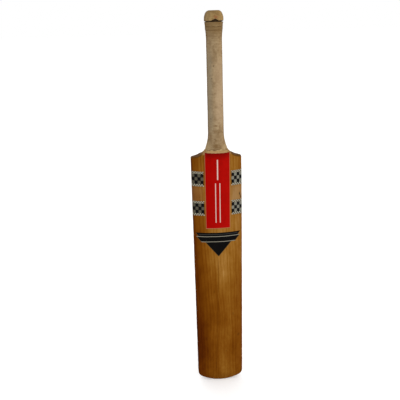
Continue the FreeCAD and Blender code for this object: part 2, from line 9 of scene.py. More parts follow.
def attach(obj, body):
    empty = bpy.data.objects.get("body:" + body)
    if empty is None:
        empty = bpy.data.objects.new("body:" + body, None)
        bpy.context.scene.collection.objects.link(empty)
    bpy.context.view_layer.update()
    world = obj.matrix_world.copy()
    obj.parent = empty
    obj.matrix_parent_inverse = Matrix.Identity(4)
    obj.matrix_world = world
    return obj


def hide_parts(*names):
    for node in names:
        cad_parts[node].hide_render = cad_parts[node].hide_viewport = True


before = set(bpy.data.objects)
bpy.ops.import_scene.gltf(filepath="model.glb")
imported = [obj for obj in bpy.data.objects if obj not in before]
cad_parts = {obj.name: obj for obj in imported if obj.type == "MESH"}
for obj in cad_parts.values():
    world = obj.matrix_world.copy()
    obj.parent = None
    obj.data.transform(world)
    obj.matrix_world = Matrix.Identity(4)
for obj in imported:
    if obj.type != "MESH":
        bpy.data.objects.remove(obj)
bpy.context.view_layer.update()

MM = 0.001
scene = bpy.context.scene

# ---------------------------------------------------------------- shape of the blade
# The same sections as the CAD blade, in millimetres: height, spine, fall to the edges.
SECTIONS = [(-726, 0.7, 5.3), (-690, -2.5, 7.0), (-640, -6.5, 9.0), (-565, -10.3, 11.2), (-490, -12.0, 12.0), (-405, -11.3, 10.8),
            (-325, -10.4, 9.7), (-245, -11.8, 12.2), (-190, -14.2, 16.4), (-160, -15.7, 20.6), (-148, -16.1, 22.4), (-136, -16.3, 23.4)]
THROAT = [(-139.5, 24.9, 17.6), (-144, 28.8, 20.0), (-148, 36.0, 24.0), (-152, 50.0, 32.0), (-156, 72.0, 46.0), (-162, 112.0, 70.0)]
FLARE = [(-140, 22.3, 16.2), (-135, 20.15, 15.65), (-129, 18.0, 15.15), (-122, 16.1, 14.65), (-114, 14.75, 14.3), (-104, 14.1, 14.1)]
B, TOE, R_TOE, R_CORNER, SHOULDER, NECK, NECK_HALF = 54.0, -720.0, 130.0, 16.0, -158.0, -140.0, 24.6
RUN_X, RUN_UP, R_SHOULDER, R_FLARE = 44.0, 2.9, 3.0, 33.1
FACE, FACE_BEND, FACE_NECK = 20.0, -166.0, 17.4


def spline(xs, ys):
    """Smooth curve through the points, with no sharp change at its second and last-but-one points."""
    xs, ys = np.array(xs, float), np.array(ys, float)
    order = np.argsort(xs)
    xs, ys = xs[order], ys[order]
    n, h = len(xs), np.diff(xs)
    A, b = np.zeros((n, n)), np.zeros(n)
    for i in range(1, n - 1):
        A[i, i - 1], A[i, i], A[i, i + 1] = h[i - 1], 2 * (h[i - 1] + h[i]), h[i]
        b[i] = 6 * ((ys[i + 1] - ys[i]) / h[i] - (ys[i] - ys[i - 1]) / h[i - 1])
    A[0, :3] = h[1], -(h[0] + h[1]), h[0]
    A[-1, -3:] = h[-1], -(h[-1] + h[-2]), h[-2]
    m = np.linalg.solve(A, b)

    def f(x):
        x = np.asarray(x, float)
        i = np.clip(np.searchsorted(xs, x) - 1, 0, n - 2)
        d, e = x - xs[i], xs[i + 1] - x
        return (m[i] * e ** 3 + m[i + 1] * d ** 3) / (6 * h[i]) + (ys[i] / h[i] - m[i] * h[i] / 6) * e + (ys[i + 1] / h[i] - m[i + 1] * h[i] / 6) * d

    return f


spine_of = spline([s[0] for s in SECTIONS], [s[1] for s in SECTIONS])
fall_of = spline([s[0] for s in SECTIONS], [s[2] for s in SECTIONS])
throat_a = spline([t[0] for t in THROAT], [t[1] for t in THROAT])
throat_b = spline([t[0] for t in THROAT], [t[2] for t in THROAT])
flare_a = spline([t[0] for t in FLARE], [t[1] for t in FLARE])
flare_b = spline([t[0] for t in FLARE], [t[2] for t in FLARE])


def back_arc(x, z):
    """The back of the blade before its rounding: one shallow arc across."""
    sag = fall_of(z) * (60 / 54.0) ** 2
    radius = (3600 + sag ** 2) / (2 * sag)
    return spine_of(z) + radius - np.sqrt(np.maximum(radius ** 2 - np.asarray(x, float) ** 2, 0))


def face_at(z):
    drop, run = FACE - FACE_NECK, NECK - FACE_BEND
    radius = (run ** 2 + drop ** 2) / (2 * drop)
    over = np.maximum(np.asarray(z, float) - FACE_BEND, 0)
    return FACE - radius + np.sqrt(np.maximum(radius ** 2 - over ** 2, 0))


# outline, from the toe's lowest point round the right side to the neck
_cz = TOE + R_TOE - math.sqrt((R_TOE - R_CORNER) ** 2 - (B - R_CORNER) ** 2)
_lean = math.atan2(B - R_CORNER, TOE + R_TOE - _cz)
_pz = SHOULDER + RUN_UP
_slope = math.atan2(_pz - SHOULDER, B - RUN_X)
_reach = R_SHOULDER * math.tan((math.pi / 2 - _slope) / 2)
_cx0, _cz0 = B - R_SHOULDER, SHOULDER - _reach
_chord = math.hypot(RUN_X - NECK_HALF, NECK - _pz)
_hgt = math.sqrt(R_FLARE ** 2 - (_chord / 2) ** 2)
_fx = (RUN_X + NECK_HALF) / 2 + (NECK - _pz) / _chord * _hgt
_fz = (_pz + NECK) / 2 + (RUN_X - NECK_HALF) / _chord * _hgt


def outline(step=1.0, side_step=3.0):
    """(half width, height) pairs up the right side of the outline."""
    pts = []

    def arc(cx, cz, r, a0, a1, n, skip=1):
        for k in range(skip, n + 1):
            a = a0 + (a1 - a0) * k / n
            pts.append((cx + r * math.cos(a), cz + r * math.sin(a)))

    start = math.asin(1.0 / R_TOE)
    arc(0, TOE + R_TOE, R_TOE, -math.pi / 2 + start, -math.pi / 2 + _lean, int(R_TOE * _lean / (1.2 * step)), 0)
    arc(B - R_CORNER, _cz, R_CORNER, -math.pi / 2 + _lean, 0, int(R_CORNER * (math.pi / 2 - _lean) / (0.9 * step)))
    low, high = _cz, -170.0
    n = int((high - low) / side_step)
    pts += [(B, low + (high - low) * k / n) for k in range(1, n + 1)]
    n = int((_cz0 - high) / (0.6 * step))
    pts += [(B, high + (_cz0 - high) * k / n) for k in range(1, n + 1)]
    ca = math.pi / 2 - _slope
    arc(_cx0, _cz0, R_SHOULDER, 0, ca, int(4.2 / (0.45 * step)))
    x1, z1 = pts[-1]
    n = int((x1 - RUN_X) / (0.7 * step))
    pts += [(x1 + (RUN_X - x1) * k / n, z1 + (_pz - z1) * k / n) for k in range(1, n + 1)]
    a_run, a_neck = math.atan2(_pz - _fz, RUN_X - _fx), math.atan2(NECK - _fz, NECK_HALF - _fx)
    if a_neck > 0:
        a_neck -= 2 * math.pi
    arc(_fx, _fz, R_FLARE, a_run, a_neck, int(R_FLARE * abs(a_neck - a_run) / (0.75 * step)))
    return np.array(pts)


_fine = outline(0.3, 0.5)
_rim = kdtree.KDTree(2 * len(_fine))
for _i, (_x, _z) in enumerate(_fine):
    _rim.insert((_x, 0, _z), 2 * _i)
    _rim.insert((-_x, 0, _z), 2 * _i + 1)
_rim.balance()


def rim_distance(x, z):
    """Distance in the outline's plane from each point to the blade's rim."""
    shape = np.shape(x)
    out = np.array([_rim.find((a, 0, c))[2] for a, c in zip(np.ravel(x), np.ravel(z))])
    return out.reshape(shape)


def half_width(z):
    order = np.argsort(_fine[:, 1])
    return np.interp(z, _fine[order, 1], _fine[order, 0])


def rounding(d, r):
    d = np.minimum(d, r)
    return r - np.sqrt(np.maximum(r * r - (r - d) ** 2, 0))


def smin(a, b, k):
    t = np.clip(0.5 + 0.5 * (b - a) / k, 0, 1)
    return b * (1 - t) + a * t - k * t * (1 - t)


def blade_surfaces(x, z, d=None):
    """(face y, back y) of the finished wood, with its throat and edges rounded."""
    x, z = np.asarray(x, float), np.asarray(z, float)
    front, back = face_at(z), back_arc(x, z)
    a, b = throat_a(np.maximum(z, -162)), throat_b(np.maximum(z, -162))
    ellipse = b * np.sqrt(np.maximum(1 - (x / a) ** 2, 0.0))
    near = z > -157
    front = np.where(near, smin(front, ellipse, 1.2), front)
    back = np.where(near, -smin(-back, ellipse, 1.2), back)
    if d is None:
        d = rim_distance(x, z)
    w = half_width(z)
    thick = np.maximum(face_at(z) - back_arc(w, z), 6.0)
    thick = np.where(near, np.minimum(thick, 2 * b * np.sqrt(np.maximum(1 - (w / a) ** 2, 0.02))), thick)
    front = front - rounding(d, np.minimum(2.6, 0.42 * thick))
    back = back + rounding(d, np.minimum(3.4, 0.46 * thick))
    return front, back


# ---------------------------------------------------------------- small tools
def hashed(i, j, k, seed):
    n = (i * 73856093) ^ (j * 19349663) ^ (k * 83492791) ^ (seed * 2654435761)
    n = (n ^ (n >> 13)) * 1274126177
    return ((n ^ (n >> 16)) & 0xFFFFFF) / float(0xFFFFFF)


def lumps(p, scale, seed=0):
    """Smooth value noise from -1 to 1 at points in millimetres; scale is the size of a lump, one number or three."""
    q = np.asarray(p, float) / np.asarray(scale, float)
    i = np.floor(q).astype(np.int64)
    f = q - i
    f = f * f * f * (f * (f * 6 - 15) + 10)
    total = 0
    for a in (0, 1):
        for b in (0, 1):
            for c in (0, 1):
                w = (f[..., 0] if a else 1 - f[..., 0]) * (f[..., 1] if b else 1 - f[..., 1]) * (f[..., 2] if c else 1 - f[..., 2])
                total = total + w * hashed(i[..., 0] + a, i[..., 1] + b, i[..., 2] + c, seed)
    return total * 2 - 1


def mesh_from(name, verts, faces, sharp=None):
    """Object with those vertices in millimetres, smooth, with edges over an angle kept sharp."""
    me = bpy.data.meshes.new(name)
    me.from_pydata([tuple(v) for v in np.asarray(verts) * MM], [], faces)
    me.validate()
    bm = bmesh.new()
    bm.from_mesh(me)
    bmesh.ops.remove_doubles(bm, verts=bm.verts, dist=1e-7)
    bmesh.ops.recalc_face_normals(bm, faces=bm.faces)
    bm.to_mesh(me)
    bm.free()
    finish_mesh(me, sharp)
    ob = bpy.data.objects.new(name, me)
    scene.collection.objects.link(ob)
    return ob


def finish_mesh(me, sharp=None):
    me.polygons.foreach_set("use_smooth", [True] * len(me.polygons))
    if sharp:
        me.set_sharp_from_angle(angle=math.radians(sharp))
    me.update()


def grid_faces(rows, cols, wrap=False, flip=False, base=0):
    out = []
    for i in range(rows - 1):
        for j in range(cols if wrap else cols - 1):
            a, b = base + i * cols + j, base + i * cols + (j + 1) % cols
            c, d = b + cols, a + cols
            out.append((a, d, c, b) if flip else (a, b, c, d))
    return out


def grid_normals(P, wrap=True):
    """Normals of a grid of points, rows by columns."""
    du = np.roll(P, -1, 1) - np.roll(P, 1, 1) if wrap else np.gradient(P, axis=1)
    dv = np.gradient(P, axis=0)
    n = np.cross(du, dv)
    return n / np.maximum(np.linalg.norm(n, axis=-1, keepdims=True), 1e-9)


# ---------------------------------------------------------------- blade
def build_blade():
    edge = outline()
    rows = len(edge)
    inset = np.array([0, 0.12, 0.35, 0.7, 1.1, 1.6, 2.2, 2.9, 3.7, 4.8, 6.4, 8.6] + list(np.linspace(11.3, 54, 17)))
    share = 1 - inset / 54.0
    s = np.concatenate([share, -share[:-1][::-1]])  # +1 .. -1
    walls = 6
    k = len(s)
    cols = 2 * k + 2 * walls
    P = np.zeros((rows, cols, 3))
    w, z = edge[:, 0][:, None], edge[:, 1][:, None]
    X = w * s[None, :]
    Z = np.broadcast_to(z, X.shape)
    d = rim_distance(X, Z)
    d[:, 0] = d[:, -1] = 0
    front, back = blade_surfaces(X, Z, d)
    mid = (front + back) / 2
    front, back = np.maximum(front, mid + 0.05), np.minimum(back, mid - 0.05)
    P[:, :k, 0], P[:, :k, 1], P[:, :k, 2] = X, front, Z
    t = (np.arange(walls) + 1) / (walls + 1)
    P[:, k:k + walls, 0] = -w
    P[:, k:k + walls, 1] = front[:, -1:] * (1 - t) + back[:, -1:] * t
    P[:, k:k + walls, 2] = z
    P[:, k + walls:2 * k + walls, 0] = X[:, ::-1]
    P[:, k + walls:2 * k + walls, 1] = back[:, ::-1]
    P[:, k + walls:2 * k + walls, 2] = z
    P[:, 2 * k + walls:, 0] = w
    P[:, 2 * k + walls:, 1] = back[:, :1] * (1 - t) + front[:, :1] * t
    P[:, 2 * k + walls:, 2] = z
    N = grid_normals(P)
    middle = np.array([0, 4.0, 0])
    out = ((P - middle) * [1, 1, 0] * N).sum(-1)
    if np.median(out) < 0:
        N = -N
    # worn surface: hand-shaped hollows, softened and bruised edges, nicks and knocks
    x, y, zz = P[..., 0], P[..., 1], P[..., 2]
    push = 0.10 * lumps(P, (26, 26, 70), 3) + 0.05 * lumps(P, (9, 9, 30), 5) - 0.10
    near_rim = np.clip(1 - d / 3.5, 0, 1)
    ring_rim = np.zeros((rows, cols))
    ring_rim[:, :k] = near_rim
    ring_rim[:, k:k + walls] = 1
    ring_rim[:, k + walls:2 * k + walls] = near_rim[:, ::-1]
    ring_rim[:, 2 * k + walls:] = 1
    push -= ring_rim * (0.16 + 0.20 * lumps(P, (6, 6, 7), 8) + 0.16 * lumps(P, (4, 4, 18), 9)) * np.clip((-158 - zz) / 20, 0, 1)
    toe = np.clip(1 - (zz - TOE) / 12, 0, 1)
    push -= toe * ring_rim * (0.2 + 0.25 * lumps(P, (5, 5, 4), 12))
    knocks = [  # x, y, z, radius, depth
        (53.5, 2.5, -636.8, 2.6, 0.9), (53.0, 2.5, -656.9, 2.2, 0.8), (53.8, 6, -598, 2.4, 0.5), (-53.8, 3, -560, 3.0, 0.6),
        (-53.5, 5, -684, 3.4, 0.7), (54, 12, -520, 3.2, 0.5), (-54, 14, -470, 3.0, 0.5), (52, 1, -705, 3.0, 0.7), (-20, 8, -719, 4.0, 0.6),
        (12, 16, -720, 5.0, 0.7), (33, 4, -716, 3.4, 0.6), (-47, 12, -709, 3.6, 0.6), (49.5, -1, -243, 1.6, 0.35), (51.5, 0, -247, 1.4, 0.3),
        (53, 3, -188, 2.0, 0.4), (-53, 3, -163, 1.8, 0.5), (53.6, 9, -300, 2.6, 0.4), (-53.8, 10, -350, 2.6, 0.4),
        (30, -8, -455, 6.0, 0.22), (-24, -9, -610, 7.0, 0.25), (8, -10, -560, 5.0, 0.18), (-12, -6, -672, 5.5, 0.25), (38, -3, -668, 5, 0.22),
        (-6, 20, -560, 13, 0.28), (17, 20, -520, 12, 0.22), (-22, 20, -598, 12, 0.24), (9, 20, -630, 13, 0.25), (26, 20, -575, 11, 0.2),
        (-30, 20, -520, 11, 0.2), (2, 20, -480, 12, 0.16), (-10, 20, -665, 12, 0.2), (24, 20, -668, 10, 0.2), (-38, 20, -640, 9, 0.2),
    ]
    for kx, ky, kz, kr, depth in knocks:
        gap = np.sqrt((x - kx) ** 2 + (y - ky) ** 2 + (zz - kz) ** 2) / kr
        push -= depth * np.exp(-(gap ** 2) * 1.4)
    # the playing face stays flat round the splice, and the neck keeps its size
    push *= np.where((y > 14) & (zz > -300), 0.0, 1.0) * np.clip((-146 - zz) / 12, 0, 1)
    push = np.minimum(push, 0.0)
    P = P + N * push[..., None]
    P[..., 2] = np.maximum(P[..., 2], TOE)
    faces = grid_faces(rows, cols, wrap=True)
    faces.append(tuple(range(cols)))
    faces.append(tuple(reversed(range((rows - 1) * cols, rows * cols))))
    ob = mesh_from("willow_blade", P.reshape(-1, 3), faces)
    # the splice slot
    gap = 0.07
    slot = [(-3 - gap, -275 - gap), (3 + gap, -275 - gap), (22.3 + gap, -140), (22.3 + gap, -130), (-22.3 - gap, -130), (-22.3 - gap, -140)]
    vs = [(a, yy, c) for yy in (-40, 40) for a, c in slot]
    fs = [tuple(range(6)), tuple(range(11, 5, -1))] + [(i, (i + 1) % 6, 6 + (i + 1) % 6, 6 + i) for i in range(6)]
    cutter = mesh_from("slot_cutter", vs, fs)
    mod = ob.modifiers.new("slot", "BOOLEAN")
    mod.operation, mod.solver, mod.object = "DIFFERENCE", "EXACT", cutter
    dg = bpy.context.evaluated_depsgraph_get()
    cut = bpy.data.meshes.new_from_object(ob.evaluated_get(dg))
    ob.modifiers.clear()
    old, ob.data = ob.data, cut
    bpy.data.meshes.remove(old)
    bpy.data.objects.remove(cutter)
    cut.name = "willow_blade"
    finish_mesh(cut, 40)
    return ob


# ---------------------------------------------------------------- thin labels
def skin(name, rows, thick=0.16, lift=0.04, hem=0.0, wrinkle=None):
    """A thin film on the blade's back. rows is a list of (height or heights, x values), all with the same count."""
    X = np.array([r[1] for r in rows], float)
    Z = np.array([np.broadcast_to(r[0], X[0].shape) for r in rows], float)
    d = np.maximum(rim_distance(X, Z), 0)
    _, back = blade_surfaces(X, Z, d)
    P = np.stack([X, back, Z], -1)
    N = grid_normals(P, wrap=False)
    N = np.where((N[..., 1] > 0)[..., None], -N, N)
    top = lift + thick + (wrinkle(X, Z) if wrinkle is not None else 0)
    outer = P + N * np.broadcast_to(top, X.shape)[..., None]
    inner = P + N * 0.0
    r, c = X.shape
    verts = np.concatenate([outer.reshape(-1, 3), inner.reshape(-1, 3)])
    n = r * c
    faces = grid_faces(r, c) + [tuple(n + i for i in reversed(f)) for f in grid_faces(r, c)]
    loop = [j for j in range(c)] + [i * c + c - 1 for i in range(1, r)] + [(r - 1) * c + j for j in range(c - 2, -1, -1)] + [i * c for i in range(r - 2, 0, -1)]
    for a, b in zip(loop, loop[1:] + loop[:1]):
        faces.append((a, n + a, n + b, b))
    return verts, faces


def joined(name, parts, sharp=35):
    verts, faces = [], []
    for v, f in parts:
        base = sum(len(q) for q in verts)
        verts.append(v)
        faces += [tuple(base + i for i in face) for face in f]
    return mesh_from(name, np.concatenate(verts), faces, sharp)


def build_red_label():
    xs = np.concatenate([[-26.4, -26.25, -25.9], np.linspace(-25, 25, 31), [25.9, 26.25, 26.4]])
    ts = np.concatenate([[0, 0.001, 0.003], np.linspace(0.008, 0.992, 92), [0.997, 0.999, 1.0]])
    rows = []
    for t in ts:
        u = xs / 26.4
        low = -315.6 + 0.25 * u + 0.12 * np.sin(xs * 0.9)
        high = -145.5 + 0.9 * u ** 2 - 0.35 * u + 0.18 * np.sin(xs * 0.8 + 1.0) + 0.12 * np.sin(xs * 2.3)
        rows.append((low + (high - low) * t, 0.3 + 0.6 * t + xs + 0.10 * np.sin(t * 37) * np.abs(u) ** 6 * np.sign(u)))

    def wrinkle(X, Z):
        near_top = np.clip((Z + 172) / 26, 0, 1)
        P = np.stack([X, 0 * X, Z], -1)
        return near_top * (0.10 + 0.12 * lumps(P, (7, 7, 3.2), 21)) + 0.03 * lumps(P, (14, 14, 22), 22)

    return joined("red_label", [skin("red_label", rows, wrinkle=wrinkle)])


def build_band(side, level):
    low, high = (-218.5, -185.7) if level == "upper" else (-285.2, -252.0)
    xs = np.concatenate([[28.8, 28.95, 29.3], np.linspace(30, 49, 14), [50, 50.8, 51.5, 52.1, 52.6, 53.0, 53.35, 53.6]])
    if side == "left":
        xs = -xs[::-1]
    else:
        xs = 53.6 - (53.6 - xs) * (53.6 - 30.4) / (53.6 - 28.8)
    zs = np.concatenate([[0, 0.004, 0.015], np.linspace(0.04, 0.96, 20), [0.985, 0.996, 1.0]])
    rows = [(low + (high - low) * t + 0.15 * np.sin(xs * 0.7 + t * 3), xs) for t in zs]
    return joined("checked_band_%s_%s" % (level, side), [skin("band", rows, thick=0.10, lift=0.03)])


def build_pennant():
    """Two tapering bands over a triangle pointing down, cut from one film."""
    base = np.concatenate([[-1, -0.992], np.linspace(-0.97, 0.97, 39), [0.992, 1]])
    rows = []
    for z0, w0, z1, w1, n in ((-325.6, 49.6, -333.65, 43.6, 10), (-333.75, 48.6, -347.75, 37.4, 16), (-347.85, 28.9, -382.2, 0.25, 44)):
        rows += [(z0 + (z1 - z0) * t, base * (w0 + (w1 - w0) * t)) for t in np.linspace(0, 1, n)]
    return joined("black_pennant_label", [skin("pennant", rows, thick=0.12, lift=0.03)])


# ---------------------------------------------------------------- handle coverings
def core_radii(z):
    """(across, front to back) of the cane core, in millimetres."""
    z = np.asarray(z, float)
    shaft = np.interp(z, [-104, 83, 103, 116, 131.4], [14.1, 13.5, 15.0, 16.0, 16.0])
    low = z < -104
    return np.where(low, flare_a(np.minimum(z, -104)), shaft), np.where(low, flare_b(np.minimum(z, -104)), shaft)


def sleeve(name, zs, thetas, outer, inner, sharp=45, z_low=None, z_high=None):
    """Closed tube: outer and inner give points for arrays of angle and height; its two rims join the outer face to the
    inner.
    """
    T, Zs = np.meshgrid(thetas, zs)
    lo = z_low(thetas)[None, :] if z_low is not None else zs[0]
    hi = z_high(thetas)[None, :] if z_high is not None else zs[-1]
    share = (Zs - zs[0]) / (zs[-1] - zs[0])
    Z = lo + (hi - lo) * share
    outer_p = outer(T, Z)
    inner_p = inner(T, Z)
    r, c = T.shape
    both = [outer_p, inner_p[::-1]]
    P = np.concatenate(both, 0)
    faces = grid_faces(2 * r, c, wrap=True)
    base = (2 * r - 1) * c
    faces += [(base + j, base + (j + 1) % c, (j + 1) % c, j) for j in range(c)]
    return mesh_from(name, P.reshape(-1, 3), faces, sharp)


def around(T, Z, grow, bumps=0.0):
    a, b = core_radii(Z)
    a, b = a + grow + bumps, b + grow + bumps
    return np.stack([a * np.sin(T), -b * np.cos(T), Z], -1)


def build_twine():
    """Waxed twine, wound side by side round the cane."""
    pitch = 1.55
    zs = np.arange(-140.0, 112.4, pitch / 5)
    thetas = np.linspace(-math.pi, math.pi, 41)[:-1]

    def outer(T, Z):
        turn = (Z / pitch + T / (2 * math.pi)) % 1.0
        return around(T, Z, 0.20, 0.60 * np.sqrt(np.maximum(1 - (2 * turn - 1) ** 2, 0)))

    return sleeve("twine_binding_wound", zs, thetas, outer, lambda T, Z: around(T, Z, 0.02))


SLEEVE_TOP = 112.9


def sleeve_low(t):
    """Lower edge of the rubber: soft lobes where the old rubber has crept over the shoulders."""
    t = (t + math.pi) % (2 * math.pi) - math.pi
    z = -137.6 + 0.9 * np.sin(3 * t + 0.8) + 0.5 * np.sin(7 * t)
    for centre, wide, depth in ((-0.16, 0.20, 2.1), (0.22, 0.17, 1.9), (-0.78, 0.20, 1.7), (0.72, 0.16, 1.2), (1.35, 0.25, 1.0), (-1.5, 0.3, 1.2)):
        z = z - depth * np.exp(-(((t - centre) / wide) ** 2))
    return np.maximum(z, -140.6)


def split_gap(t):
    """Height of the tear between the sleeve and the rolled cuff, by angle; 0 faces the labels."""
    t = (t + math.pi) % (2 * math.pi) - math.pi
    x = np.sin(t) * 18.6
    front = np.cos(t) > 0
    g = 0.45 + 0.25 * np.sin(5 * t + 1) * np.sin(11 * t)
    shape = np.interp(x, [-18.6, -13, -9, -6.5, -4.5, -2.5, 0.2, 2.0, 3.6, 5.5, 7.8, 9.6, 11.5, 13.5, 16, 18.6],
                      [0.3, 0.4, 0.9, 1.4, 2.3, 3.2, 4.6, 5.2, 4.4, 3.1, 2.0, 1.0, 1.0, 1.6, 1.9, 1.3])
    return np.where(front, shape, g)


def rubber_form(T, Z, grow):
    """Outer face of the grip with its folds, ridges and slack."""
    P = around(T, Z, 0)
    z = Z
    extra = np.interp(z, [-150, 83, 89, 93, 97, 99, 102, 104.5, 108, 110, 112, 117], [0, 0, -0.15, -0.25, -0.15, 0.1, 0.12, -0.1, -0.05, 0.1, 0.2, 0.2])
    ribs = (0.05 + 0.06 * np.clip((z - 44) / 30, 0, 1)) * np.sin(z * 2 * math.pi / 2.9 + 1.3 * lumps(P, (9, 9, 16), 31)) * np.clip((z + 120) / 40, 0, 1) - 0.05
    waves = 0.12 * lumps(P, (14, 14, 24), 33) + 0.07 * lumps(P, (6, 6, 5), 34)
    folds = 0
    for zc, depth, wide, phase in ((103.9, 0.42, 0.55, 0.4), (97.4, 0.34, 0.6, 1.7), (109.8, 0.16, 0.5, 2.6), (-103.0, 0.22, 0.8, 0.9), (-96.5, 0.16, 0.7, 2.0), (91.5, 0.14, 0.6, 0.2), (86.0, 0.14, 0.6, 1.2), (79.5, 0.12, 0.7, 2.2), (73.0, 0.10, 0.7, 0.9)):
        wander = 0.5 * np.sin(2 * T + phase) + 0.25 * np.sin(5 * T + phase * 3)
        reach = 0.55 + 0.45 * np.sin(T * 1.0 + phase * 2)
        folds = folds - depth * reach * np.exp(-(((z - zc - wander) / wide) ** 2))
        folds = folds + 0.6 * depth * reach * np.exp(-(((z - zc - wander - 1.3) / (wide * 1.3)) ** 2))
    swirl = 0.10 * np.exp(-(((z + 128) / 7) ** 2)) * np.sin(T * 9 + z * 0.5) * np.clip(np.sin(T - 0.2), 0, 1)
    return np.minimum(extra + ribs + waves + folds + swirl, 0.34)


def build_sleeve():
    zs = np.concatenate([[0, 0.0008, 0.0022, 0.0045], np.linspace(0.008, 0.992, 300), [0.9955, 0.998, 0.9993, 1.0]]) * (SLEEVE_TOP + 140.0) - 140.0
    thetas = np.linspace(-math.pi, math.pi, 113)[:-1]

    def high(t):
        return SLEEVE_TOP + 0.12 * np.sin(9 * t) + 0.10 * np.sin(17 * t + 1) - 0.05

    def outer(T, Z):
        lo, hi = sleeve_low(T), high(T)
        end = np.minimum((Z - lo), (hi - Z))
        round_off = rounding(np.maximum(end, 0), 0.75)
        thin = 0.35 * np.clip(1 - (Z - lo) / 6, 0, 1)
        return around(T, Z, 0.85 + 1.5, rubber_form(T, Z, 0) - round_off - thin)

    def inner(T, Z):
        lo, hi = sleeve_low(T), high(T)
        end = np.minimum((Z - lo), (hi - Z))
        return around(T, Z, 0.87 + 0.3 * rounding(np.maximum(end, 0), 0.6))

    return sleeve("rubber_grip_sleeve", zs, thetas, outer, inner, z_low=sleeve_low, z_high=high, sharp=60)


def build_cuff():
    """Rolled rubber ring round the pommel, torn from the sleeve along its lower edge, open at the top."""
    thetas = np.linspace(-math.pi, math.pi, 129)[:-1]
    # outer profile from the lower edge up and over, then down the inside: (radius, height, share of the tear)
    prof = [(18.25, 113.55, 1), (18.65, 113.65, 1), (18.92, 114.0, 1), (19.0, 114.6, 0.95), (19.04, 115.6, 0.8), (19.06, 116.9, 0.6), (19.06, 118.4, 0.4), (19.0, 120.0, 0.22), (18.88, 121.6, 0.10),
            (18.6, 122.9, 0.05), (18.25, 124.2, 0), (17.85, 125.5, 0), (17.4, 126.8, 0), (16.85, 128.1, 0), (16.15, 129.4, 0), (15.3, 130.6, 0), (14.25, 131.7, 0), (13.0, 132.6, 0),
            (11.7, 133.3, 0), (10.4, 133.75, 0), (9.4, 133.85, 0), (8.6, 133.6, 0), (8.15, 133.0, 0), (8.05, 132.2, 0), (8.1, 131.6, 0),
            (9.5, 131.55, 0), (11.5, 131.1, 0), (13.5, 129.8, 0), (15.0, 127.6, 0), (15.8, 125.2, 0), (16.05, 122.5, 0), (16.1, 119.5, 0.4), (16.2, 116.4, 0.8), (16.4, 114.2, 1), (16.9, 113.6, 1), (17.6, 113.5, 1)]
    base = np.array(prof)
    t = thetas[None, :]
    gap = split_gap(t)
    R = np.broadcast_to(base[:, 0:1], (len(prof), len(thetas))).copy()
    Z = base[:, 1:2] + base[:, 2:3] * gap
    P = np.stack([R * np.sin(t), -R * np.cos(t), Z], -1)
    outside = (np.arange(len(prof)) < 21)[:, None]
    bump = 0.16 * lumps(P, (7, 7, 5), 41) + 0.10 * lumps(P, (3.2, 3.2, 2.6), 42) - 0.10
    bump = bump + 0.10 * np.sin(t * 1 + 0.5)
    ragged = base[:, 2:3] * (0.42 * lumps(P * [1, 1, 0], (1.6, 1.6, 1.6), 43) + 0.12 * lumps(P * [1, 1, 0], (0.8, 0.8, 0.8), 44))
    R = R + np.where(outside, np.minimum(bump, 0.0), 0)
    Z = np.minimum(Z + np.where(Z < 122, ragged, 0), 133.9)
    P = np.stack([R * np.sin(t), -R * np.cos(t), Z], -1)
    r, c = R.shape
    faces = grid_faces(r, c, wrap=True)
    last = (r - 1) * c
    faces += [(last + j, last + (j + 1) % c, (j + 1) % c, j) for j in range(c)]
    return mesh_from("rubber_head_cuff", P.reshape(-1, 3), faces, 50)


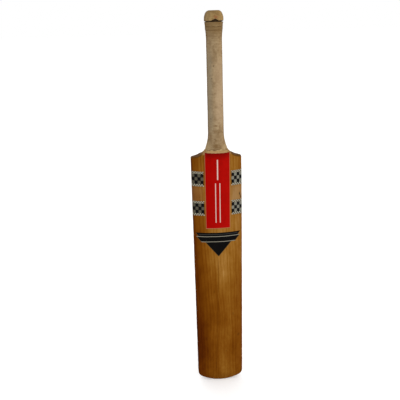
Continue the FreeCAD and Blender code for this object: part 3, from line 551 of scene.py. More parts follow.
# ---------------------------------------------------------------- material tools
class Nodes:
    """Short names for building a node tree."""

    def __init__(self, name):
        self.mat = bpy.data.materials.new(name)
        self.mat.use_nodes = True
        self.nt = self.mat.node_tree
        self.bsdf = next(n for n in self.nt.nodes if n.type == "BSDF_PRINCIPLED")
        self.coord = self.node("ShaderNodeTexCoord").outputs["Object"]
        self.scaled = self.vmath("SCALE", self.coord, scale=1000.0)  # millimetres
        sep = self.node("ShaderNodeSeparateXYZ")
        self.link(self.scaled, sep.inputs[0])
        self.x, self.y, self.z = sep.outputs

    def node(self, kind, **props):
        n = self.nt.nodes.new(kind)
        for key, value in props.items():
            setattr(n, key, value)
        return n

    def link(self, a, b):
        self.nt.links.new(a, b)

    def put(self, socket, value):
        if isinstance(value, bpy.types.NodeSocket):
            self.link(value, socket)
        elif value is not None:
            socket.default_value = value

    def vmath(self, op, a, b=None, scale=None):
        n = self.node("ShaderNodeVectorMath", operation=op)
        self.put(n.inputs[0], a)
        if b is not None:
            self.put(n.inputs[1], b)
        if scale is not None:
            n.inputs["Scale"].default_value = scale
        return n.outputs[0]

    def m(self, op, a, b=None, c=None, clamp=False):
        n = self.node("ShaderNodeMath", operation=op)
        n.use_clamp = clamp
        self.put(n.inputs[0], a)
        if b is not None:
            self.put(n.inputs[1], b)
        if c is not None:
            self.put(n.inputs[2], c)
        return n.outputs[0]

    def stretch(self, sx, sy, sz, shift=(0, 0, 0)):
        """Millimetre coordinates multiplied by these and shifted."""
        a = self.vmath("MULTIPLY", self.scaled, (sx, sy, sz))
        return self.vmath("ADD", a, shift)

    def noise(self, vec, scale=1.0, detail=3.0, rough=0.55, distort=0.0):
        n = self.node("ShaderNodeTexNoise")
        self.put(n.inputs["Vector"], vec)
        n.inputs["Scale"].default_value = scale
        n.inputs["Detail"].default_value = detail
        n.inputs["Roughness"].default_value = rough
        n.inputs["Distortion"].default_value = distort
        return n.outputs["Fac"]

    def ramp(self, fac, stops, interp="LINEAR"):
        n = self.node("ShaderNodeValToRGB")
        n.color_ramp.interpolation = interp
        els = n.color_ramp.elements
        while len(els) > 1:
            els.remove(els[-1])
        for k, (pos, col) in enumerate(stops):
            e = els[0] if k == 0 else els.new(pos)
            e.position = pos
            e.color = (*col, 1) if len(col) == 3 else col
        self.put(n.inputs[0], fac)
        return n.outputs[0]

    def grey(self, fac, stops, interp="LINEAR"):
        return self.ramp(fac, [(p, (v, v, v)) for p, v in stops], interp)

    def mix(self, fac, a, b, mode="MIX"):
        n = self.node("ShaderNodeMix", data_type="RGBA", blend_type=mode)
        n.clamp_factor = True
        self.put(n.inputs[0], fac)
        self.put(n.inputs[6], (*a, 1) if isinstance(a, tuple) else a)
        self.put(n.inputs[7], (*b, 1) if isinstance(b, tuple) else b)
        return n.outputs[2]

    def between(self, value, lo, hi, soft):
        """1 where lo < value < hi, with soft edges."""
        up = self.m("DIVIDE", self.m("SUBTRACT", value, lo), soft, clamp=True)
        down = self.m("DIVIDE", self.m("SUBTRACT", hi, value), soft, clamp=True)
        return self.m("MULTIPLY", up, down)

    def above(self, value, lo, soft):
        return self.m("DIVIDE", self.m("SUBTRACT", value, lo), soft, clamp=True)

    def spot(self, cx, cz, rx, rz, soft=0.35, wobble=None):
        """Soft ellipse in X and Z."""
        dx = self.m("DIVIDE", self.m("SUBTRACT", self.x, cx), rx)
        dz = self.m("DIVIDE", self.m("SUBTRACT", self.z, cz), rz)
        r = self.m("SQRT", self.m("ADD", self.m("MULTIPLY", dx, dx), self.m("MULTIPLY", dz, dz)))
        if wobble is not None:
            r = self.m("ADD", r, wobble)
        return self.m("DIVIDE", self.m("SUBTRACT", 1.0, r), soft, clamp=True)

    def bump(self, height, strength, distance, normal=None):
        n = self.node("ShaderNodeBump")
        n.inputs["Strength"].default_value = strength
        n.inputs["Distance"].default_value = distance
        self.put(n.inputs["Height"], height)
        if normal is not None:
            self.put(n.inputs["Normal"], normal)
        return n.outputs[0]

    def done(self, color, rough=None, normal=None, **fixed):
        self.put(self.bsdf.inputs["Base Color"], color)
        if rough is not None:
            self.put(self.bsdf.inputs["Roughness"], rough)
        if normal is not None:
            self.link(normal, self.bsdf.inputs["Normal"])
        for key, value in fixed.items():
            self.bsdf.inputs[key.replace("_", " ")].default_value = value
        return self.mat


def lin(r, g, b):
    """Linear colour from an 8-bit display colour."""
    return tuple((c / 255 / 12.92) if c / 255 <= 0.04045 else ((c / 255 + 0.055) / 1.055) ** 2.4 for c in (r, g, b))


LIGHT = 1.32  # how much light falls on an upright surface here


def lit(r, g, b):
    """Base colour that looks like this 8-bit display colour in the studio."""
    return tuple(v / LIGHT for v in lin(r, g, b))


# ---------------------------------------------------------------- materials
def willow_material():
    g = Nodes("aged_willow")
    # growth lines: upright, a few millimetres apart, wandering slightly
    wander = g.noise(g.stretch(0.012, 0.012, 0.0045), 1.0, 2.0, 0.5)
    shifted = g.m("ADD", g.x, g.m("MULTIPLY", g.m("SUBTRACT", wander, 0.5), 26.0))
    shifted = g.m("ADD", shifted, g.m("MULTIPLY", g.z, 0.012))
    comb = g.node("ShaderNodeCombineXYZ")
    g.put(comb.inputs[0], g.m("MULTIPLY", shifted, 0.135))
    g.put(comb.inputs[1], 0.0)
    g.put(comb.inputs[2], g.m("MULTIPLY", g.z, 0.0012))
    rings = g.noise(comb.outputs[0], 1.0, 4.0, 0.62)
    ring_dark = g.grey(rings, [(0.30, 1.0), (0.44, 0.55), (0.50, 0.15), (0.56, 0.0), (0.72, 0.0)])
    lines = g.node("ShaderNodeTexWave", wave_type="BANDS", bands_direction="X", wave_profile="SAW")
    g.put(lines.inputs["Vector"], comb.outputs[0])
    lines.inputs["Scale"].default_value = 0.36
    lines.inputs["Distortion"].default_value = 1.6
    lines.inputs["Detail"].default_value = 2.0
    lines.inputs["Detail Scale"].default_value = 1.1
    line = g.grey(lines.outputs["Fac"], [(0.0, 0.35), (0.55, 0.0), (0.86, 0.12), (0.97, 1.0), (1.0, 0.75)])
    # fibres and fine pores
    fibre = g.noise(g.stretch(1.5, 1.5, 0.018), 1.0, 4.0, 0.65, 0.2)
    pores = g.noise(g.stretch(3.6, 3.6, 0.16, (7, 3, 1)), 1.0, 2.0, 0.5)
    pore = g.grey(pores, [(0.60, 0.0), (0.70, 1.0)])
    broad = g.noise(g.stretch(0.030, 0.030, 0.0085, (3, 9, 2)), 1.0, 3.0, 0.6)
    patch = g.noise(g.stretch(0.055, 0.055, 0.035, (11, 4, 8)), 1.0, 4.0, 0.62)
    # wood colour: amber; browner towards the edges under old oil, darker down towards the toe, and darkest on the left
    # edge, which is painted shade
    tone = g.m("ADD", g.m("MULTIPLY", g.m("SUBTRACT", fibre, 0.5), 0.46), g.m("MULTIPLY", g.m("SUBTRACT", broad, 0.5), 0.50))
    tone = g.m("ADD", tone, g.m("MULTIPLY", g.m("SUBTRACT", patch, 0.5), 0.34))
    tone = g.m("ADD", tone, g.m("MULTIPLY", ring_dark, -0.14))
    tone = g.m("ADD", tone, g.m("MULTIPLY", line, -0.17))
    across_oil_and_shade = g.grey(g.m("ADD", g.m("DIVIDE", g.x, 120.0), 0.5), [
        (0.05, 0.08), (0.11, 0.20), (0.23, 0.42), (0.365, 0.60), (0.50, 0.72), (0.635, 0.76), (0.77, 0.70), (0.90, 0.66), (0.95, 0.56)])
    down = g.grey(g.m("DIVIDE", g.m("ADD", g.z, 720.0), 580.0), [(0.0, 0.50), (0.06, 0.46), (0.16, 0.40), (0.28, 0.38), (0.41, 0.48), (0.55, 0.62), (0.72, 0.68), (1.0, 0.66)])
    tone = g.m("ADD", tone, g.m("ADD", across_oil_and_shade, g.m("SUBTRACT", down, 0.46)))
    left_top = g.m("MULTIPLY", g.above(g.z, -340.0, 80.0), g.m("SUBTRACT", 1.0, g.above(g.x, -46.0, 30.0)))
    tone = g.m("ADD", tone, g.m("MULTIPLY", left_top, 0.17))
    wood = g.ramp(tone, [
        (0.0, lit(74, 28, 1)), (0.18, lit(90, 40, 2)), (0.38, lit(106, 55, 4)), (0.58, lit(124, 71, 11)), (0.78, lit(142, 92, 27)), (0.95, lit(162, 114, 50)), (1.0, lit(172, 126, 66))])
    wood = g.mix(g.m("MULTIPLY", pore, 0.22), wood, lit(72, 32, 4))
    # redder old oil along the right side and above the toe
    red = g.m("MULTIPLY", g.above(g.x, 34.0, 22.0), g.grey(g.noise(g.stretch(0.05, 0.05, 0.014, (1, 1, 5)), 1.0, 3.0, 0.6), [(0.38, 0.0), (0.62, 1.0)]))
    wood = g.mix(g.m("MULTIPLY", red, 0.38), wood, lit(112, 54, 16))
    # paler, greyer wood between the upper labels on the right
    worn = g.m("MULTIPLY", g.between(g.z, -262.0, -212.0, 14.0), g.above(g.m("ABSOLUTE", g.x), 26.0, 8.0))
    worn = g.m("MULTIPLY", worn, g.m("ADD", g.m("MULTIPLY", g.above(g.x, 0.0, 1.0), 0.55), 0.28))
    worn = g.m("MULTIPLY", worn, g.grey(patch, [(0.3, 0.5), (0.6, 1.0)]))
    wood = g.mix(worn, wood, lit(158, 122, 78))
    # bare pale wood round the throat, under the grip's edge
    rag = g.noise(g.stretch(0.35, 0.35, 0.35), 1.0, 3.0, 0.6)
    lift = g.m("ADD", g.z, g.m("MULTIPLY", g.m("SUBTRACT", rag, 0.5), 5.0))
    reach = g.m("SUBTRACT", lift, g.m("MULTIPLY", g.m("ABSOLUTE", g.x), -0.02))
    pale = g.m("MULTIPLY", g.above(reach, -149.5, 3.0), g.m("SUBTRACT", 1.0, g.above(g.m("ABSOLUTE", g.x), 27.0, 12.0)))
    mottle = g.grey(g.noise(g.stretch(0.7, 0.7, 0.7, (3, 5, 7)), 1.0, 3.0, 0.65), [(0.42, 0.95), (0.62, 0.35)])
    wood = g.mix(g.m("MULTIPLY", pale, mottle), wood, g.mix(rag, lit(196, 166, 122), lit(150, 116, 72)))
    # painted shade: darker where the tops of the shoulders face upward
    facing = g.node("ShaderNodeSeparateXYZ")
    g.link(g.node("ShaderNodeTexCoord").outputs["Normal"], facing.inputs[0])
    shoulder_top_shade = g.m("MULTIPLY", g.above(g.m("ADD", facing.outputs[2], g.m("MULTIPLY", g.m("SUBTRACT", rag, 0.5), 0.2)), 0.22, 0.3), g.above(g.m("ABSOLUTE", g.x), 27.0, 6.0))
    shoulder_top_shade = g.m("MULTIPLY", shoulder_top_shade, g.m("GREATER_THAN", g.z, -170.0))
    wood = g.mix(g.m("MULTIPLY", shoulder_top_shade, 0.92), wood, g.mix(rag, lit(112, 74, 24), lit(78, 48, 14)))
    # dark oil and dirt: rim of the toe, stains; the shoulder tops above are painted shade
    speck = g.noise(g.stretch(0.33, 0.33, 0.24, (4, 6, 2)), 1.0, 3.0, 0.7)
    dirt = g.grey(speck, [(0.63, 0.0), (0.72, 0.8)])
    dirt = g.m("MULTIPLY", dirt, g.grey(broad, [(0.42, 0.25), (0.62, 1.0)]))
    wood = g.mix(g.m("MULTIPLY", dirt, 0.34), wood, lit(58, 28, 6))
    toe_dirt = g.m("MULTIPLY", g.m("SUBTRACT", 1.0, g.above(g.m("ADD", g.z, g.m("MULTIPLY", g.m("SUBTRACT", patch, 0.5), 26.0)), -716.0, 18.0)), 0.35)
    wood = g.mix(toe_dirt, wood, lit(84, 42, 6))
    # the long dark growth line down the middle of the back, a drying split and a few marks
    back = g.m("SUBTRACT", 1.0, g.above(g.y, 3.0, 3.0))
    middle = g.m("ADD", g.m("MULTIPLY", g.m("ADD", g.z, 386.0), 0.031), -0.6)
    away = g.m("ABSOLUTE", g.m("SUBTRACT", g.m("ADD", g.x, g.m("MULTIPLY", g.m("SUBTRACT", wander, 0.5), 2.2)), middle))
    seam = g.m("MULTIPLY", g.m("DIVIDE", g.m("SUBTRACT", 1.35, away), 0.8, clamp=True), g.between(g.z, -700.0, -384.0, 22.0))
    seam = g.m("MULTIPLY", g.m("MULTIPLY", seam, back), g.grey(g.noise(g.stretch(0.0, 0.0, 0.02, (0, 0, 5)), 1.0, 2.0), [(0.3, 0.25), (0.6, 0.75)]))
    wood = g.mix(g.m("MULTIPLY", seam, 0.7), wood, lit(86, 42, 3))
    wob = g.m("MULTIPLY", g.m("SUBTRACT", speck, 0.5), 1.4)
    marks = None
    for cx, cz, rx, rz, k in ((48.7, -239.8, 1.5, 4.6, 0.95), (50.9, -246.8, 1.5, 5.0, 0.9), (50.1, -285.5, 1.3, 3.2, 0.85), (-38.5, -243.0, 0.8, 1.6, 0.35),
                              (-12.0, -470.0, 1.0, 5.0, 0.35), (31.0, -532.0, 1.2, 6.0, 0.4), (-33.0, -600.0, 0.9, 7.0, 0.3), (14.0, -634.0, 1.4, 3.0, 0.35), (44.0, -592.0, 3.5, 5.0, 0.3)):
        one = g.m("MULTIPLY", g.spot(cx, cz, rx, rz, 0.6, wob), k)
        marks = one if marks is None else g.m("MAXIMUM", marks, one)
    wood = g.mix(g.m("MULTIPLY", marks, back), wood, lit(34, 16, 6))
    # pale bruised fibres at knocks
    scratch_wob = g.noise(g.stretch(1.1, 1.1, 1.1, (5, 1, 2)), 1.0, 3.0, 0.65)
    nicks = None
    for cx, cz, rx, rz in ((52.0, -636.8, 2.6, 1.5), (51.9, -656.9, 2.4, 1.3), (53.2, -598.0, 0.9, 1.4), (-53.6, -684.0, 1.2, 2.0)):
        one = g.spot(cx, cz, rx, rz, 0.7, g.m("MULTIPLY", g.m("SUBTRACT", scratch_wob, 0.5), 3.2))
        nicks = one if nicks is None else g.m("MAXIMUM", nicks, one)
    nicks = g.m("MULTIPLY", nicks, g.m("SUBTRACT", 1.0, g.above(g.m("ADD", g.y, g.m("MULTIPLY", wob, 2.0)), 5.0, 2.0)))
    wood = g.mix(g.m("MULTIPLY", nicks, 0.7), wood, lit(190, 142, 80))
    # playing face: paler, with leather-red ball marks
    face = g.above(g.y, 18.6, 0.9)
    wood = g.mix(g.m("MULTIPLY", face, 0.38), wood, lit(182, 140, 84))
    cells = g.node("ShaderNodeTexVoronoi", feature="F1")
    g.put(cells.inputs["Vector"], g.stretch(0.036, 0.0, 0.036, (0.3, 0, 0.1)))
    cells.inputs["Scale"].default_value = 1.0
    cells.inputs["Randomness"].default_value = 1.0
    ball = g.grey(g.m("ADD", cells.outputs["Distance"], g.m("MULTIPLY", g.m("SUBTRACT", patch, 0.5), 0.5)), [(0.10, 0.75), (0.26, 0.30), (0.34, 0.55), (0.39, 0.0)])
    zone = g.m("MULTIPLY", g.between(g.z, -690.0, -430.0, 70.0), g.grey(g.noise(g.stretch(0.02, 0.0, 0.02, (5, 0, 9)), 1.0, 1.0), [(0.42, 0.0), (0.60, 1.0)]))
    wood = g.mix(g.m("MULTIPLY", g.m("MULTIPLY", ball, zone), g.m("MULTIPLY", face, 0.36)), wood, lit(104, 34, 20))
    rough = g.m("ADD", g.m("MULTIPLY", fibre, 0.16), g.m("ADD", g.m("MULTIPLY", patch, 0.14), 0.30))
    rough = g.m("ADD", rough, g.m("MULTIPLY", pale, 0.25))
    height = g.m("ADD", g.m("MULTIPLY", fibre, 0.7), g.m("ADD", g.m("MULTIPLY", line, -0.35), g.m("MULTIPLY", pore, -0.5)))
    height = g.m("ADD", height, g.m("MULTIPLY", marks, -1.2))
    scratch = g.noise(g.stretch(0.9, 0.9, 0.9, (2, 8, 5)), 1.0, 3.0, 0.6)
    height = g.m("ADD", height, g.m("MULTIPLY", g.grey(scratch, [(0.66, 0.0), (0.74, 1.0)]), -0.3))
    return g.done(wood, rough, g.bump(height, 0.35, 0.00022), Specular_IOR_Level=0.005)


def cane_material(k):
    g = Nodes("cane_%d" % k)
    off = (3.1 * k, 1.7 * k, 5.3 * k)
    fibre = g.noise(g.stretch(1.1, 1.1, 0.010, off), 1.0, 4.0, 0.6)
    vessel = g.noise(g.stretch(2.6, 2.6, 0.045, off), 1.0, 2.0, 0.5)
    broad = g.noise(g.stretch(0.08, 0.08, 0.012, off), 1.0, 2.0, 0.5)
    tone = g.m("ADD", g.m("MULTIPLY", fibre, 0.6), g.m("MULTIPLY", broad, 0.4))
    tint = (0.0, 0.06, -0.05, 0.03, -0.03, 0.05)[k % 6]
    col = g.ramp(g.m("ADD", tone, tint), [(0.25, lin(118, 74, 30)), (0.42, lin(164, 116, 58)), (0.56, lin(192, 148, 88)), (0.75, lin(214, 178, 122))])
    col = g.mix(g.m("MULTIPLY", g.grey(vessel, [(0.58, 0.0), (0.68, 1.0)]), 0.5), col, lin(96, 58, 26))
    # dark glue lines at the sides of the middle column and of the springs
    seam_x = g.m("ABSOLUTE", g.m("SUBTRACT", g.m("ABSOLUTE", g.x), 7.3))
    glue = g.m("SUBTRACT", 1.0, g.above(seam_x, 0.10, 0.16))
    col = g.mix(g.m("MULTIPLY", glue, 0.8), col, lin(58, 34, 16))
    # oiled like the blade below the neck, pale bare wood round the throat
    rag = g.noise(g.stretch(0.35, 0.35, 0.35), 1.0, 3.0, 0.6)
    lift = g.m("ADD", g.z, g.m("MULTIPLY", g.m("SUBTRACT", rag, 0.5), 5.0))
    pale = g.m("MULTIPLY", g.above(lift, -149.5, 3.0), g.m("SUBTRACT", 1.0, g.above(g.z, -120.0, 5.0)))
    oiled = g.m("SUBTRACT", 1.0, g.above(g.z, -150.0, 6.0))
    col = g.mix(g.m("MULTIPLY", oiled, 0.45), col, lit(138, 86, 26))
    col = g.mix(g.m("MULTIPLY", pale, 0.9), col, g.mix(rag, lit(190, 160, 116), lit(150, 116, 72)))
    ring = g.m("SQRT", g.m("ADD", g.m("MULTIPLY", g.x, g.x), g.m("MULTIPLY", g.y, g.y)))
    # painted shade and grime: the core darker near its top, under the cuff where it shows in the tear
    cane_gap_shade_and_grime = g.m("MULTIPLY", g.above(g.z, 107.0, 3.0), g.above(ring, 14.6, 0.5))
    col = g.mix(g.m("MULTIPLY", cane_gap_shade_and_grime, 0.96), col, lin(22, 13, 7))
    top = g.m("MULTIPLY", g.above(g.z, 128.0, 2.0), g.m("SUBTRACT", 1.0, g.above(ring, 14.0, 0.5)))
    ends = g.noise(g.stretch(1.8, 1.8, 0.0, off), 1.0, 3.0, 0.6)
    col = g.mix(top, col, g.ramp(ends, [(0.35, lin(84, 56, 28)), (0.52, lin(150, 112, 66)), (0.68, lin(182, 146, 96))]))
    height = g.m("SUBTRACT", g.m("MULTIPLY", fibre, 0.6), g.m("MULTIPLY", vessel, 0.4))
    return g.done(col, g.m("ADD", g.m("MULTIPLY", fibre, 0.2), 0.42), g.bump(height, 0.4, 0.0002), Specular_IOR_Level=0.04)


def spring_material():
    g = Nodes("spring_rubber_black")
    n = g.noise(g.stretch(0.9, 0.9, 0.9), 1.0, 4.0, 0.6)
    col = g.ramp(n, [(0.3, lin(24, 22, 20)), (0.7, lin(58, 54, 48))])
    return g.done(col, g.m("ADD", g.m("MULTIPLY", n, 0.2), 0.62), g.bump(n, 0.3, 0.0002), Specular_IOR_Level=0.05)


def twine_material():
    g = Nodes("waxed_twine")
    strand = g.noise(g.stretch(1.6, 1.6, 3.2), 1.0, 4.0, 0.6)
    broad = g.noise(g.stretch(0.1, 0.1, 0.1), 1.0, 2.0, 0.5)
    col = g.ramp(g.m("ADD", g.m("MULTIPLY", strand, 0.6), g.m("MULTIPLY", broad, 0.4)), [(0.3, lin(120, 96, 60)), (0.5, lin(172, 148, 104)), (0.7, lin(206, 186, 144))])
    # painted shade and grime: darker towards the top, under the sleeve's edge and the cuff
    twine_gap_shade_and_grime = g.above(g.m("ADD", g.z, g.m("MULTIPLY", strand, 2.0)), 107.0, 5.0)
    col = g.mix(g.m("MULTIPLY", twine_gap_shade_and_grime, 0.92), col, lin(30, 20, 12))
    return g.done(col, 0.75, g.bump(strand, 0.5, 0.0003), Specular_IOR_Level=0.2)


def rubber_material(kind):
    g = Nodes("old_grip_rubber_" + kind)
    fine = g.noise(g.stretch(0.9, 0.9, 0.9), 1.0, 4.0, 0.6)
    blot = g.noise(g.stretch(0.085, 0.085, 0.060, (2, 5, 3)), 1.0, 4.0, 0.62, 0.6)
    blot2 = g.noise(g.stretch(0.16, 0.16, 0.30, (9, 1, 4)), 1.0, 3.0, 0.6, 0.4)
    grain = g.noise(g.stretch(0.30, 0.30, 2.1, (3, 3, 3)), 1.0, 3.0, 0.6)
    tone = g.m("ADD", g.m("MULTIPLY", blot, 0.55), g.m("ADD", g.m("MULTIPLY", blot2, 0.30), g.m("MULTIPLY", fine, 0.15)))
    if kind == "sleeve":
        stops = [(0.30, lit(126, 100, 68)), (0.42, lit(152, 126, 91)), (0.52, lit(172, 146, 110)), (0.62, lit(186, 162, 124)), (0.74, lit(200, 178, 140))]
    else:
        stops = [(0.30, lit(112, 82, 42)), (0.42, lit(144, 112, 66)), (0.52, lit(168, 136, 84)), (0.64, lit(186, 156, 104)), (0.78, lit(200, 174, 124))]
    col = g.ramp(tone, stops)
    col = g.mix(g.m("MULTIPLY", g.grey(grain, [(0.5, 0.0), (0.68, 1.0)]), 0.20), col, lit(96, 74, 46))
    # greyer and darker on the left side, warmer on the right; on the cuff the right side is also lighter, a painted
    # highlight
    side = g.m("ADD", g.m("DIVIDE", g.x, 36.0), 0.5, clamp=True)
    col = g.mix(g.m("MULTIPLY", g.m("SUBTRACT", 1.0, side), 0.34), col, lit(122, 112, 94))
    col = g.mix(g.m("MULTIPLY", g.above(side, 0.6, 0.4), 0.30 if kind == "cuff" else 0.16), col, lit(182, 152, 106) if kind == "cuff" else lit(166, 120, 74))
    if kind == "sleeve":
        rubbed = g.m("MULTIPLY", g.between(g.m("ADD", g.z, g.m("MULTIPLY", g.m("SUBTRACT", blot2, 0.5), 40.0)), -98.0, 52.0, 30.0), g.above(g.m("ADD", g.x, g.m("MULTIPLY", g.m("SUBTRACT", blot, 0.5), 12.0)), -5.0, 8.0))
        col = g.mix(g.m("MULTIPLY", rubbed, 0.55), col, lit(186, 160, 128))
        palm = g.m("MULTIPLY", g.between(g.z, -110.0, 70.0, 30.0), g.m("SUBTRACT", 1.0, g.above(g.m("ADD", g.x, g.m("MULTIPLY", g.m("SUBTRACT", blot2, 0.5), 9.0)), -10.0, 7.0)))
        col = g.mix(g.m("MULTIPLY", palm, 0.55), col, lit(142, 130, 108))
        low = g.m("SUBTRACT", 1.0, g.above(g.m("ADD", g.z, g.m("MULTIPLY", g.m("SUBTRACT", blot, 0.5), 60.0)), -128.0, 60.0))
        col = g.mix(g.m("MULTIPLY", low, 0.28), col, lit(134, 108, 74))
        # browner stains in the middle of the flare and below the cuff
        wob = g.m("MULTIPLY", g.m("SUBTRACT", blot2, 0.5), 1.6)
        stain = None
        for cx, cz, rx, rz, k in ((-2.5, -131, 8.5, 9.0, 0.75), (8.0, -133, 6.0, 6.0, 0.55), (-1.0, -119, 5.0, 6.0, 0.45), (0.0, -100, 9.0, 4.0, 0.5), (-2.0, -88, 6.0, 2.2, 0.6),
                                  (3.0, 98, 14, 8.0, 0.42), (8.0, 110, 8.0, 4.0, 0.3), (-12, -112, 4, 10, 0.35), (14, -128, 5, 8, 0.45), (4, 12, 8, 30, 0.22), (-6, -40, 6, 26, 0.2)):
            one = g.m("MULTIPLY", g.spot(cx, cz, rx, rz, 0.7, wob), k)
            stain = one if stain is None else g.m("MAXIMUM", stain, one)
        col = g.mix(g.m("MULTIPLY", stain, 0.9), col, lit(112, 82, 46))
        head = g.above(g.m("ADD", g.z, g.m("MULTIPLY", g.m("SUBTRACT", blot, 0.5), 40.0)), 76.0, 26.0)
        col = g.mix(g.m("MULTIPLY", head, 0.72), col, lit(124, 98, 60))
        edge = g.m("SUBTRACT", 1.0, g.above(g.z, -139.5, 6.0))
        col = g.mix(g.m("MULTIPLY", edge, 0.55), col, lit(92, 66, 36))
        # painted shade and grime: dark along the sleeve's top edge at the tear under the cuff
        top = g.above(g.m("ADD", g.z, g.m("MULTIPLY", g.m("SUBTRACT", fine, 0.5), 2.4)), 112.0, 0.8)
        col = g.mix(g.m("MULTIPLY", top, 0.8), col, lit(40, 24, 12))
        # painted shade: dark lines in the creases of the folds
        fold_crease_shade = None
        for zc, wide, k in ((103.9, 1.1, 0.85), (97.4, 1.2, 0.75), (109.8, 0.8, 0.25), (91.5, 0.8, 0.35), (86.0, 0.8, 0.42), (79.5, 0.9, 0.34), (73.0, 0.8, 0.30), (66.0, 0.8, 0.22), (59.0, 0.8, 0.18), (-103.0, 1.1, 0.35), (-96.5, 1.0, 0.25)):
            one = g.m("MULTIPLY", g.m("DIVIDE", g.m("SUBTRACT", wide, g.m("ABSOLUTE", g.m("SUBTRACT", g.m("ADD", g.z, g.m("MULTIPLY", g.m("SUBTRACT", blot, 0.5), 4.0)), zc))), wide, clamp=True), k)
            fold_crease_shade = one if fold_crease_shade is None else g.m("MAXIMUM", fold_crease_shade, one)
        col = g.mix(g.m("MULTIPLY", fold_crease_shade, g.grey(blot2, [(0.35, 0.4), (0.6, 1.0)])), col, lit(84, 58, 30))
    else:
        rosy = g.spot(3.0, 121.5, 6.0, 3.6, 0.8, g.m("MULTIPLY", g.m("SUBTRACT", blot2, 0.5), 1.8))
        col = g.mix(g.m("MULTIPLY", rosy, 0.45), col, lit(150, 78, 52))
        # painted shade and grime: dark along the cuff's lower edge where it meets the sleeve
        cuff_lip_shade_and_grime = g.m("SUBTRACT", 1.0, g.above(g.m("ADD", g.z, g.m("MULTIPLY", g.m("SUBTRACT", fine, 0.5), 3.0)), 114.2, 2.0))
        col = g.mix(g.m("MULTIPLY", cuff_lip_shade_and_grime, 0.6), col, lit(56, 34, 18))
        rim = g.above(g.z, 130.2, 3.0)
        col = g.mix(g.m("MULTIPLY", rim, 0.30), col, lit(110, 90, 50))
    # painted shade darkening both sides of the handle towards its outline, and dark bands of painted shade where the
    # wound ridges show through
    side_outline_shade = g.above(g.m("ABSOLUTE", g.m("DIVIDE", g.x, g.m("SQRT", g.m("ADD", g.m("MULTIPLY", g.x, g.x), g.m("MULTIPLY", g.y, g.y))))), 0.78, 0.22)
    side_outline_shade = g.m("MULTIPLY", side_outline_shade, g.above(g.z, -126.0, 16.0))
    col = g.mix(g.m("MULTIPLY", g.m("MULTIPLY", side_outline_shade, side_outline_shade), 0.66), col, lit(96, 68, 36))
    if kind == "sleeve":
        # painted shade: dark bands at the spacing of the wound ribs
        rib_groove_shade = g.m("SINE", g.m("ADD", g.m("MULTIPLY", g.z, 2 * math.pi / 2.9), g.m("MULTIPLY", g.m("SUBTRACT", blot2, 0.5), 9.0)))
        rib_groove_shade = g.m("MULTIPLY", g.m("MULTIPLY", g.m("ADD", rib_groove_shade, 1.0), 0.5), g.m("ADD", g.m("MULTIPLY", g.above(g.z, 44.0, 30.0), 0.30), 0.14))
        col = g.mix(g.m("MULTIPLY", rib_groove_shade, g.grey(blot, [(0.35, 1.0), (0.62, 0.45)])), col, lit(108, 80, 46))
        flare = g.m("MULTIPLY", g.m("SUBTRACT", 1.0, g.above(g.z, -112.0, 14.0)), g.grey(g.noise(g.stretch(0.62, 0.62, 0.75, (8, 2, 2)), 1.0, 3.0, 0.65), [(0.52, 0.0), (0.64, 1.0)]))
        col = g.mix(g.m("MULTIPLY", flare, 0.42), col, lit(112, 84, 50))
        cream = g.m("MULTIPLY", g.m("SUBTRACT", 1.0, g.above(g.z, -132.0, 12.0)), g.above(g.m("ABSOLUTE", g.m("ADD", g.x, 1.0)), 9.0, 6.0))
        col = g.mix(g.m("MULTIPLY", cream, g.grey(fine, [(0.40, 0.2), (0.60, 0.75)])), col, lit(196, 170, 128))
    # dark specks pressed into the rubber
    cell = g.node("ShaderNodeTexVoronoi", feature="F1")
    g.put(cell.inputs["Vector"], g.stretch(0.075, 0.075, 0.060, (5, 2, 6)))
    cell.inputs["Scale"].default_value = 1.0
    speck = g.m("SUBTRACT", 1.0, g.above(cell.outputs["Distance"], 0.045, 0.05))
    col = g.mix(g.m("MULTIPLY", speck, 0.7), col, lit(48, 32, 20))
    tiny = g.grey(g.noise(g.stretch(0.8, 0.8, 0.8, (1, 6, 2)), 1.0, 2.0, 0.5), [(0.68, 0.0), (0.76, 1.0)])
    col = g.mix(g.m("MULTIPLY", tiny, 0.34), col, lit(72, 52, 32))
    rough = g.m("ADD", g.m("MULTIPLY", blot, 0.18), 0.56)
    height = g.m("ADD", g.m("MULTIPLY", fine, 0.5), g.m("ADD", g.m("MULTIPLY", grain, 0.8), g.m("MULTIPLY", speck, -0.6)))
    return g.done(col, rough, g.bump(height, 0.5, 0.00035), Specular_IOR_Level=0.01)


